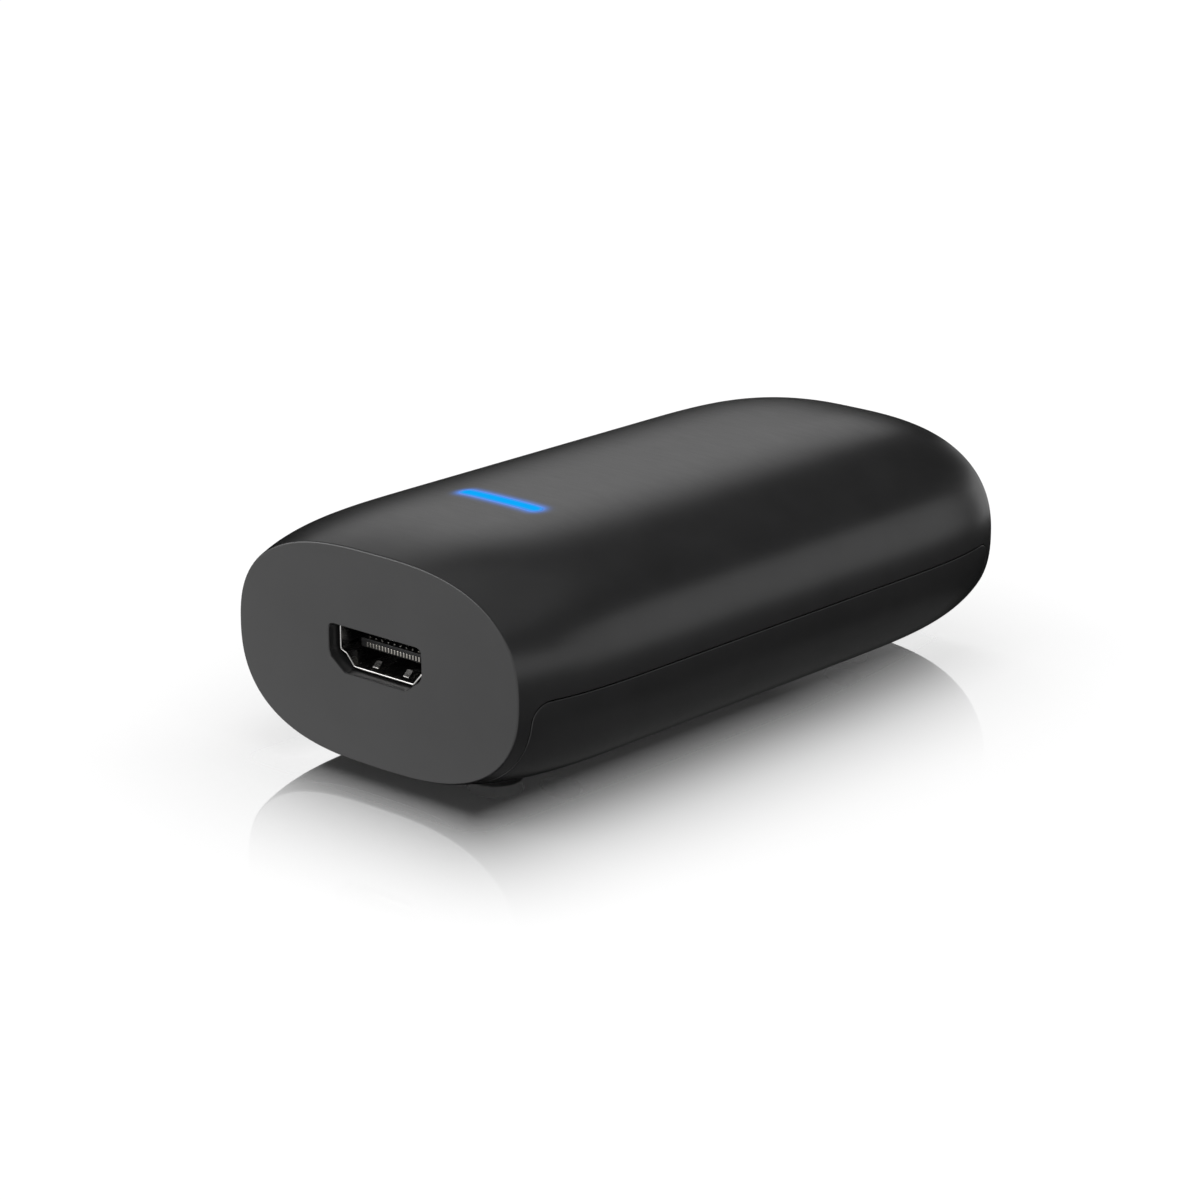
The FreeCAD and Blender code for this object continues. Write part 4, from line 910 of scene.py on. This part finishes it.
class Surface:
    """A procedural material, built up round one Principled shader. Sizes are in metres."""

    def __init__(self, name, **values):
        self.material = bpy.data.materials.new(name)
        self.material.use_nodes = True
        self.tree = self.material.node_tree
        self.shader = self.tree.nodes["Principled BSDF"]
        self.coordinates = self.node("ShaderNodeTexCoord").outputs["Object"]
        self.fixed(**values)

    def fixed(self, **values):
        """Constants on the shader's own sockets."""
        for socket, value in values.items():
            self.shader.inputs[socket.replace("_", " ")].default_value = value

    def drive(self, socket, value):
        """Gives a shader socket a constant or the output of a node."""
        target = self.shader.inputs[socket]
        if isinstance(value, bpy.types.NodeSocket):
            self.tree.links.new(value, target)
        else:
            target.default_value = value

    def node(self, kind, inputs=(), **settings):
        return add_node(self.tree, kind, inputs, **settings)

    def maths(self, operation, one, other=0.0):
        return self.node("ShaderNodeMath", {0: one, 1: other}, operation=operation).outputs[0]

    def spread(self, value, low, high, start=0.3, end=0.7):
        """Maps the range from start to end, by default a noise's, onto the one from low to high."""
        inputs = {"Value": value, "From Min": start, "From Max": end, "To Min": low, "To Max": high}
        return self.node("ShaderNodeMapRange", inputs).outputs[0]

    def noise(self, size, detail=2.0, stretch=(1, 1, 1), offset=0.0):
        """Noise whose features are about size across."""
        inputs = {"Vector": self.coordinates, "Scale": stretch, "Location": (offset,) * 3}
        place = self.node("ShaderNodeMapping", inputs)
        inputs = {"Vector": place.outputs[0], "Scale": 1 / size, "Detail": detail}
        return self.node("ShaderNodeTexNoise", inputs).outputs["Fac"]

    def patches(self, size, detail, start=0.3, end=0.7, **place):
        """Noise that goes from zero to one between two of its values."""
        return self.spread(self.noise(size, detail, **place), 0.0, 1.0, start, end)

    def cells(self, size):
        return self.node("ShaderNodeTexVoronoi", {"Vector": self.coordinates, "Scale": 1 / size}).outputs

    def edges(self, width):
        """One on edges that wear reaches, fading to zero over about width; zero on the flats."""
        rounded = self.node("ShaderNodeBevel", {"Radius": width}, samples=4).outputs[0]
        plain = self.node("ShaderNodeNewGeometry").outputs["Normal"]
        same = self.node("ShaderNodeVectorMath", {0: rounded, 1: plain}, operation="DOT_PRODUCT")
        return self.spread(same.outputs["Value"], 0.0, 0.8, 0.995, 0.85)

    def blend(self, factor, one, other):
        """Colour between two others, each a colour or the output of a node."""
        inputs = {0: factor, 6: rgba(one), 7: rgba(other)}
        return self.node("ShaderNodeMix", inputs, data_type="RGBA").outputs[2]

    def tint(self, factor, one, other):
        """Base colour between two others."""
        self.drive("Base Color", self.blend(factor, one, other))

    def rough(self, value):
        self.drive("Roughness", value)

    def bump(self, height, depth, strength):
        inputs = {"Height": height, "Distance": depth, "Strength": strength}
        self.drive("Normal", self.node("ShaderNodeBump", inputs).outputs[0])

    def texture(self, height, smoothest, roughest, depth, strength):
        """Roughness and bump that both follow one height."""
        self.rough(self.spread(height, smoothest, roughest))
        self.bump(height, depth, strength)

    def lit(self, colour, strength):
        self.drive("Emission Color", rgba(colour))
        self.drive("Emission Strength", strength)


def bar_distance(look):
    """Distance from the rim of the bar's light, seen from above: negative in it, quicker past its ends."""
    split = look.node("ShaderNodeSeparateXYZ", {"Vector": look.coordinates})
    straight = (LIGHT_LENGTH - LIGHT_WIDTH) / 2
    side = look.maths("ABSOLUTE", look.maths("ADD", split.outputs["X"], BAR_LEFT))
    past = look.maths("MAXIMUM", look.maths("SUBTRACT", side, straight), 0.0)
    past = look.maths("MULTIPLY", past, BAR_END)
    along = look.maths("SUBTRACT", split.outputs["Y"], LIGHT_Y)
    square = look.maths("ADD", look.maths("MULTIPLY", past, past), look.maths("MULTIPLY", along, along))
    return look.maths("SUBTRACT", look.maths("SQRT", square), LIGHT_WIDTH / 2)


def bar_glow(look):
    """One in the bar's light, fading to zero at GLOW_REACH from its rim; the fading part is a painted glow
    on the case.
    """
    near = look.spread(bar_distance(look), 1.0, 0.0, 0.0, GLOW_REACH)
    return look.maths("POWER", near, GLOW_FADE)


def case_plastic(look):
    """Black moulded plastic with a fine spark-eroded texture, and a painted blue glow emitted from it close
    to the light bar.
    """
    look.fixed(IOR=1.5)
    look.tint(look.patches(7 * MM, 2), CASE_DARK, CASE_LIGHT)
    grain = look.noise(0.12 * MM, 3)
    streaks = look.noise(0.5 * MM, 3, stretch=(0.12, 1, 1))
    height = look.maths("ADD", look.maths("MULTIPLY", grain, 0.6), look.maths("MULTIPLY", streaks, 0.4))
    look.rough(look.spread(height, *CASE_SATIN, 0.35, 0.65))
    look.bump(height, CASE_GRAIN_DEPTH, 0.5)
    # Painted glow: emission on the roof round the light bar, standing in for the bar's light on the case
    above = look.node("ShaderNodeSeparateXYZ", {"Vector": look.coordinates}).outputs["Z"]
    on_top = look.maths("GREATER_THAN", above, LIGHT_PAD_Z)
    look.lit(PAINTED_GLOW_COLOUR, look.maths("MULTIPLY", bar_glow(look), on_top))


def light_plastic(look):
    """Lit blue light guide, deeper at its rim."""
    look.fixed(Base_Color=(0.002, 0.010, 0.020, 1), Specular_IOR_Level=0.0)
    core = look.blend(look.patches(1.5 * MM, 2), BAR_CORE, tuple(0.96 * value for value in BAR_CORE))
    rim = look.spread(bar_distance(look), 0.0, 1.0, -BAR_RIM, 0.0)
    look.lit(look.blend(rim, core, BAR_EDGE), bar_glow(look))
    look.rough(look.spread(look.noise(0.2 * MM, 2), 0.30, 0.38))


def foot_rubber(look):
    """Dark rubber, dull and a little dusty."""
    look.fixed(Specular_IOR_Level=0.2)
    look.tint(look.patches(0.9 * MM, 4, 0.5, 0.75), (0.003, 0.003, 0.003), (0.009, 0.009, 0.009))
    look.texture(look.noise(0.15 * MM, 3), 0.72, 0.90, 0.01 * MM, 0.6)


def screw_steel(look):
    """Zinc-plated steel, scuffed bright on its edges."""
    look.fixed(Metallic=1.0)
    plated = look.blend(look.patches(0.8 * MM, 4), (0.40, 0.40, 0.42), (0.50, 0.50, 0.50))
    look.tint(look.edges(0.06 * MM), plated, (0.72, 0.71, 0.69))
    look.texture(look.noise(0.08 * MM, 2, stretch=(1, 1, 0.1)), 0.26, 0.42, 0.003 * MM, 0.4)


def board_laminate(look):
    """Black-green solder mask over slanted copper tracks, with the bare copper of vias here and there."""
    turned = look.node("ShaderNodeMapping", {"Vector": look.coordinates, "Rotation": (0, 0, math.pi / 4)})
    bricks = {"Vector": turned.outputs[0], "Scale": 1.0, "Brick Width": 6.5 * MM, "Row Height": 0.42 * MM}
    bricks.update({"Mortar Size": 0.11 * MM, "Mortar Smooth": 0.2})
    tracks = look.node("ShaderNodeTexBrick", bricks, offset=0.37).outputs["Fac"]
    shown = look.maths("MULTIPLY", tracks, look.patches(9 * MM, 1, 0.45, 0.55))
    mask = look.blend(shown, (0.006, 0.016, 0.009), (0.011, 0.036, 0.018))
    vias = look.spread(look.cells(2.6 * MM)["Distance"], 1.0, 0.0, 0.07, 0.10)
    look.tint(vias, mask, (0.30, 0.24, 0.12))
    look.rough(look.spread(look.noise(0.5 * MM, 3), 0.30, 0.42))
    look.bump(shown, 0.02 * MM, 0.6)


def connector_metal(look):
    """Nickel-plated sheet, drawn along the plug's way, with duller patches."""
    look.fixed(Metallic=1.0)
    plated = look.blend(look.patches(2.5 * MM, 3), (0.44, 0.435, 0.425), (0.57, 0.56, 0.55))
    look.tint(look.edges(0.05 * MM), plated, (0.63, 0.62, 0.60))
    look.texture(look.noise(0.10 * MM, 3, stretch=(1, 0.06, 1)), 0.18, 0.28, 0.0005 * MM, 0.3)


def connector_plastic(look):
    """Black glass-filled moulding with pale fibre ends in it."""
    look.fixed(Specular_IOR_Level=0.25)
    fibres = look.patches(0.16 * MM, 2, 0.5, 0.8, stretch=(1, 0.15, 1), offset=1.3)
    look.tint(fibres, (0.004, 0.004, 0.004), (0.014, 0.014, 0.015))
    look.texture(look.noise(0.2 * MM, 3), 0.42, 0.58, 0.003 * MM, 0.5)


def contact_gold(look):
    """Pale gold flash over nickel, worn back to nickel in streaks along the contact."""
    look.fixed(Metallic=1.0)
    worn = look.patches(0.25 * MM, 3, stretch=(1, 0.15, 1))
    look.tint(worn, (0.31, 0.29, 0.25), (0.26, 0.255, 0.25))
    look.texture(look.noise(0.06 * MM, 2, stretch=(1, 0.1, 1)), 0.20, 0.32, 0.001 * MM, 0.4)


def lamp_plastic(look):
    """Milky lamp body, lit blue from inside."""
    look.tint(look.patches(0.4 * MM, 3), (0.52, 0.56, 0.62), (0.66, 0.68, 0.70))
    look.lit(BAR_CORE, look.spread(look.noise(0.6 * MM, 1), 0.45, 0.60))
    look.rough(look.spread(look.noise(0.1 * MM, 2), 0.18, 0.28))


def chip_epoxy(look):
    """Moulding compound: near black, with the mould's matt texture and fine filler specks."""
    cast = look.blend(look.patches(3 * MM, 3), (0.014, 0.014, 0.015), (0.024, 0.024, 0.024))
    look.tint(look.patches(0.07 * MM, 1, 0.62, 0.78), cast, (0.060, 0.060, 0.060))
    look.texture(look.noise(0.1 * MM, 3), 0.48, 0.64, 0.004 * MM, 0.5)


def shield_metal(look):
    """Tinned steel sheet with its faint crystal spangle."""
    look.fixed(Metallic=1.0)
    spangle = look.node("ShaderNodeRGBToBW", {0: look.cells(1.4 * MM)["Color"]}).outputs[0]
    tinned = look.blend(spangle, (0.54, 0.54, 0.53), (0.66, 0.66, 0.65))
    look.tint(look.edges(0.08 * MM), tinned, (0.78, 0.78, 0.77))
    rolled = look.noise(0.15 * MM, 3, stretch=(0.08, 1, 1))
    sheen = look.spread(spangle, 0.9, 1.15, 0.0, 1.0)
    look.rough(look.maths("MULTIPLY", sheen, look.spread(rolled, 0.26, 0.38)))
    look.bump(rolled, 0.003 * MM, 0.4)


def pad_silicone(look):
    """Soft blue-grey gap pad with pale filler in it."""
    look.tint(look.patches(0.12 * MM, 2, 0.55, 0.75), (0.28, 0.33, 0.42), (0.46, 0.50, 0.56))
    look.texture(look.noise(0.7 * MM, 3), 0.62, 0.80, 0.03 * MM, 0.5)


def sink_metal(look):
    """Black anodised aluminium, rubbed bright on its edges."""
    look.fixed(Metallic=0.8)
    anodised = look.blend(look.patches(2.2 * MM, 3), (0.030, 0.030, 0.031), (0.048, 0.048, 0.050))
    look.tint(look.edges(0.07 * MM), anodised, (0.34, 0.34, 0.35))
    look.texture(look.noise(0.12 * MM, 3, stretch=(1, 0.06, 1)), 0.38, 0.54, 0.005 * MM, 0.5)


def ferrite(look):
    """Pressed and fired ferrite: charcoal, with pale specks that paint in its faint glitter, chipped pale
    at its edges.
    """
    fired = look.blend(look.patches(1.8 * MM, 3), (0.034, 0.033, 0.032), (0.052, 0.050, 0.049))
    # Painted glints: pale specks in the base colour stand in for the glitter of the ferrite's crystals
    painted_glints = look.blend(look.patches(0.05 * MM, 1, 0.68, 0.80), fired, (0.16, 0.16, 0.16))
    look.tint(look.edges(0.06 * MM), painted_glints, (0.11, 0.11, 0.11))
    look.texture(look.noise(0.14 * MM, 3), 0.46, 0.62, 0.012 * MM, 0.5)


def winding_tape(look):
    """Amber film over copper wire, whose turns show through as ridges."""
    inputs = {"Vector": look.coordinates, "Scale": 1 / (1.6 * MM), "Distortion": 0.4, "Detail": 1.0}
    turns = look.node("ShaderNodeTexWave", inputs, bands_direction="Z").outputs["Fac"]
    look.tint(turns, (0.40, 0.17, 0.02), (0.62, 0.34, 0.05))
    look.rough(look.spread(look.noise(0.9 * MM, 3), 0.24, 0.38))
    look.bump(turns, 0.04 * MM, 0.5)


def capacitor_can(look):
    """Drawn aluminium can under a clear coat, streaked from top to bottom."""
    look.fixed(Metallic=1.0)
    streaks = look.noise(0.14 * MM, 3, stretch=(1, 1, 0.05))
    look.tint(look.spread(streaks, 0.0, 1.0), (0.56, 0.56, 0.57), (0.72, 0.72, 0.72))
    look.texture(streaks, 0.22, 0.36, 0.003 * MM, 0.4)


def ceramic(look):
    """Fired ceramic body of the smallest parts, tan to grey from one to the next."""
    batch = look.patches(4 * MM, 1, 0.42, 0.58, offset=2.1)
    body = look.blend(batch, (0.20, 0.13, 0.075), (0.17, 0.155, 0.135))
    mottle = look.patches(0.15 * MM, 3)
    look.tint(mottle, body, (0.27, 0.20, 0.13))
    look.rough(look.spread(look.noise(0.1 * MM, 2), 0.36, 0.52))
    look.bump(mottle, 0.004 * MM, 0.4)


def button_plastic(look):
    """Pale grey moulded plunger, rubbed smooth."""
    look.tint(look.patches(0.9 * MM, 3), (0.52, 0.52, 0.51), (0.62, 0.62, 0.60))
    look.texture(look.noise(0.12 * MM, 3), 0.30, 0.46, 0.003 * MM, 0.5)


MATERIALS = (
    case_plastic,
    light_plastic,
    foot_rubber,
    screw_steel,
    board_laminate,
    connector_metal,
    connector_plastic,
    contact_gold,
    lamp_plastic,
    chip_epoxy,
    shield_metal,
    pad_silicone,
    sink_metal,
    ferrite,
    winding_tape,
    capacitor_can,
    ceramic,
    button_plastic,
)


def all_materials():
    made = {}
    for make in MATERIALS:
        look = Surface(make.__name__)
        make(look)
        made[make.__name__] = look.material
    return made


def dress(materials):
    slots = {part["node"]: part["material_slot"] for part in frame["record"]["subparts"]}
    for node, piece in frame["nodes"].items():
        piece.data.materials.clear()
        piece.data.materials.append(materials[slots[node]])
        if node in EDGE_WIDTHS:
            round_edges(piece, EDGE_WIDTHS[node])


# Stage


def camera():
    turn, lift, roll = (math.radians(a) for a in (CAMERA_AZIMUTH, CAMERA_ELEVATION, CAMERA_ROLL))
    back = Vector((math.sin(turn) * math.cos(lift), -math.cos(turn) * math.cos(lift), math.sin(lift)))
    right = Vector((math.cos(turn), math.sin(turn), 0))
    up = back.cross(right)
    aim = Vector((0, 0, AIM_HEIGHT)) + AIM_RIGHT * right + AIM_UP * up
    across = math.cos(roll) * right + math.sin(roll) * up
    above = math.cos(roll) * up - math.sin(roll) * right
    data = bpy.data.cameras.new("camera")
    data.lens = CAMERA_LENS
    data.sensor_width = CAMERA_SENSOR
    data.clip_start = CAMERA_NEAREST
    seat = bpy.data.objects.new("camera", data)
    place = Matrix((across, above, back)).transposed().to_4x4()
    place.translation = aim + CAMERA_DISTANCE * back
    seat.matrix_world = place
    bpy.context.scene.collection.objects.link(seat)
    bpy.context.scene.camera = seat


def seen_directly(tree):
    """One for rays of the camera, gloss or clear pieces, zero for the light on matt surfaces."""
    path = add_node(tree, "ShaderNodeLightPath").outputs
    seen = path["Is Camera Ray"]
    for kind in ("Is Glossy Ray", "Is Transmission Ray"):
        seen = add_node(tree, "ShaderNodeMath", {0: seen, 1: path[kind]}, operation="MAXIMUM").outputs[0]
    return seen


def world():
    """White where the camera, gloss or clear pieces look; a plain even light for everything else."""
    sky = bpy.data.worlds.new("sky")
    bpy.context.scene.world = sky
    sky.use_nodes = True
    tree = sky.node_tree
    tree.nodes.clear()
    white = add_node(tree, "ShaderNodeBackground", {"Color": (1, 1, 1, 1)})
    plain = add_node(tree, "ShaderNodeBackground", {"Color": (1, 1, 1, 1), "Strength": WORLD_LEVEL})
    inputs = {0: seen_directly(tree), 1: plain.outputs[0], 2: white.outputs[0]}
    mix = add_node(tree, "ShaderNodeMixShader", inputs)
    add_node(tree, "ShaderNodeOutputWorld", {"Surface": mix.outputs[0]})


def overhead_lamp():
    """Large soft lamp straight above the case, which gloss doesn't see."""
    data = bpy.data.lights.new("overhead", "AREA")
    data.shape = "SQUARE"
    data.size = LAMP_SIZE
    data.energy = LAMP_POWER
    seat = bpy.data.objects.new("overhead", data)
    seat.location = (0, 0, LAMP_HEIGHT)
    seat.visible_glossy = False
    bpy.context.scene.collection.objects.link(seat)


def direction(azimuth, elevation):
    """Unit vector; azimuth 0 looks towards -Y and 90 towards +X, in degrees."""
    turn, lift = math.radians(azimuth), math.radians(elevation)
    return Vector((math.sin(turn) * math.cos(lift), -math.cos(turn) * math.cos(lift), math.sin(lift)))


def within(point, outline):
    """Whether a point lies inside a polygon."""
    inside = False
    for (ax, ay), (bx, by) in zip(outline, outline[1:] + outline[:1]):
        if (ay > point[1]) != (by > point[1]) and point[0] < (bx - ax) * (point[1] - ay) / (by - ay) + ax:
            inside = not inside
    return inside


def panel_level(azimuth, elevation):
    for level, outline in PANELS:
        if within((azimuth, elevation), outline) or within((azimuth + 360, elevation), outline):
            return level
    return SCRIM_LEVEL if elevation > SCRIM_ELEVATION else 0.0


def card_material(level):
    """Surface that only shines, at a level."""
    look = Surface("card_%d" % round(100 * level), Roughness=1.0, Specular_IOR_Level=0)
    look.fixed(Base_Color=(0, 0, 0, 1))
    look.lit((1, 1, 1), level)
    return look.material


def studio_cards():
    """White, grey and black cards all round the stage that only gloss sees."""
    build = Builder()
    grid = {}
    for azimuth in range(-180, 181, CARD_STEP):
        for elevation in range(-90, 91, CARD_STEP):
            grid[azimuth, elevation] = build.point(CARD_DISTANCE * direction(azimuth, elevation))
    levels = sorted({level for level, outline in PANELS} | {SCRIM_LEVEL, 0.0})
    indices = []
    for azimuth in range(-180, 180, CARD_STEP):
        for elevation in range(-90, 90, CARD_STEP):
            across, up = azimuth + CARD_STEP, elevation + CARD_STEP
            corners = [(azimuth, elevation), (across, elevation), (across, up), (azimuth, up)]
            build.face([grid[corner] for corner in corners])
            level = panel_level(azimuth + CARD_STEP / 2, elevation + CARD_STEP / 2)
            indices.append(levels.index(level))
    cards = build.finish("studio_cards")
    for level in levels:
        cards.data.materials.append(card_material(level))
    cards.data.polygons.foreach_set("material_index", indices)
    cards.visible_camera = False
    cards.visible_diffuse = False
    cards.visible_shadow = False
    cards.visible_transmission = False


def mirror_share(look):
    """Share of the mirror: most under the case, less to its rear, none from MIRROR_REACH on."""
    split = look.node("ShaderNodeSeparateXYZ", {"Vector": look.coordinates})
    total = 0.0
    for axis, half, reach in zip("XY", FOOTPRINT, MIRROR_REACH):
        past = look.maths("SUBTRACT", look.maths("ABSOLUTE", split.outputs[axis]), half)
        beyond = look.maths("DIVIDE", look.maths("MAXIMUM", past, 0.0), reach)
        total = look.maths("ADD", total, look.maths("POWER", beyond, MIRROR_CORNER))
    near = look.spread(look.maths("POWER", total, 1 / MIRROR_CORNER), 1.0, 0.0, 0.0, 1.0)
    most = look.spread(split.outputs["Y"], MIRROR_SHARE, MIRROR_REAR_SHARE, HALF_LENGTH / 4, HALF_LENGTH)
    return look.maths("MULTIPLY", look.maths("POWER", near, MIRROR_FADE), most)


def table():
    """White table top: matt far away, and more and more of a mirror towards the case."""
    build = Builder()
    edge = rectangle((-TABLE_REACH, -TABLE_REACH), (TABLE_REACH, TABLE_REACH))
    build.face([build.point((x, y, 0)) for x, y in edge])
    top = build.finish("table_top")
    look = Surface("table_white", Roughness=0.9, Specular_IOR_Level=0)
    look.fixed(Base_Color=(TABLE_WHITE, TABLE_WHITE, TABLE_WHITE, 1))
    look.lit((1, 1, 1), look.maths("MULTIPLY", seen_directly(look.tree), TABLE_GLOW))
    mirror = look.node("ShaderNodeBsdfGlossy", {"Color": (1, 1, 1, 1), "Roughness": MIRROR_ROUGHNESS})
    inputs = {0: mirror_share(look), 1: look.shader.outputs[0], 2: mirror.outputs[0]}
    mix = look.node("ShaderNodeMixShader", inputs)
    look.tree.links.new(mix.outputs[0], look.tree.nodes["Material Output"].inputs["Surface"])
    top.data.materials.append(look.material)
    top.visible_glossy = False


def stage():
    camera()
    world()
    table()
    studio_cards()
    overhead_lamp()
    bpy.context.scene.view_settings.view_transform = "Standard"


materials = all_materials()
dress(materials)
for make, node, slot in (
    (housing, "upper_housing", "case_plastic"),
    (cover, "lower_cover", "case_plastic"),
    (receptacle_shell, "hdmi_shell", "connector_metal"),
    (receptacle_insulator, "hdmi_insulator", "connector_plastic"),
    (receptacle_contacts, "hdmi_contacts", "contact_gold"),
):
    piece = make()
    piece.data.materials.clear()
    piece.data.materials.append(materials[slot])
    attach(piece, BODY)
    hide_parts(node)
stage()
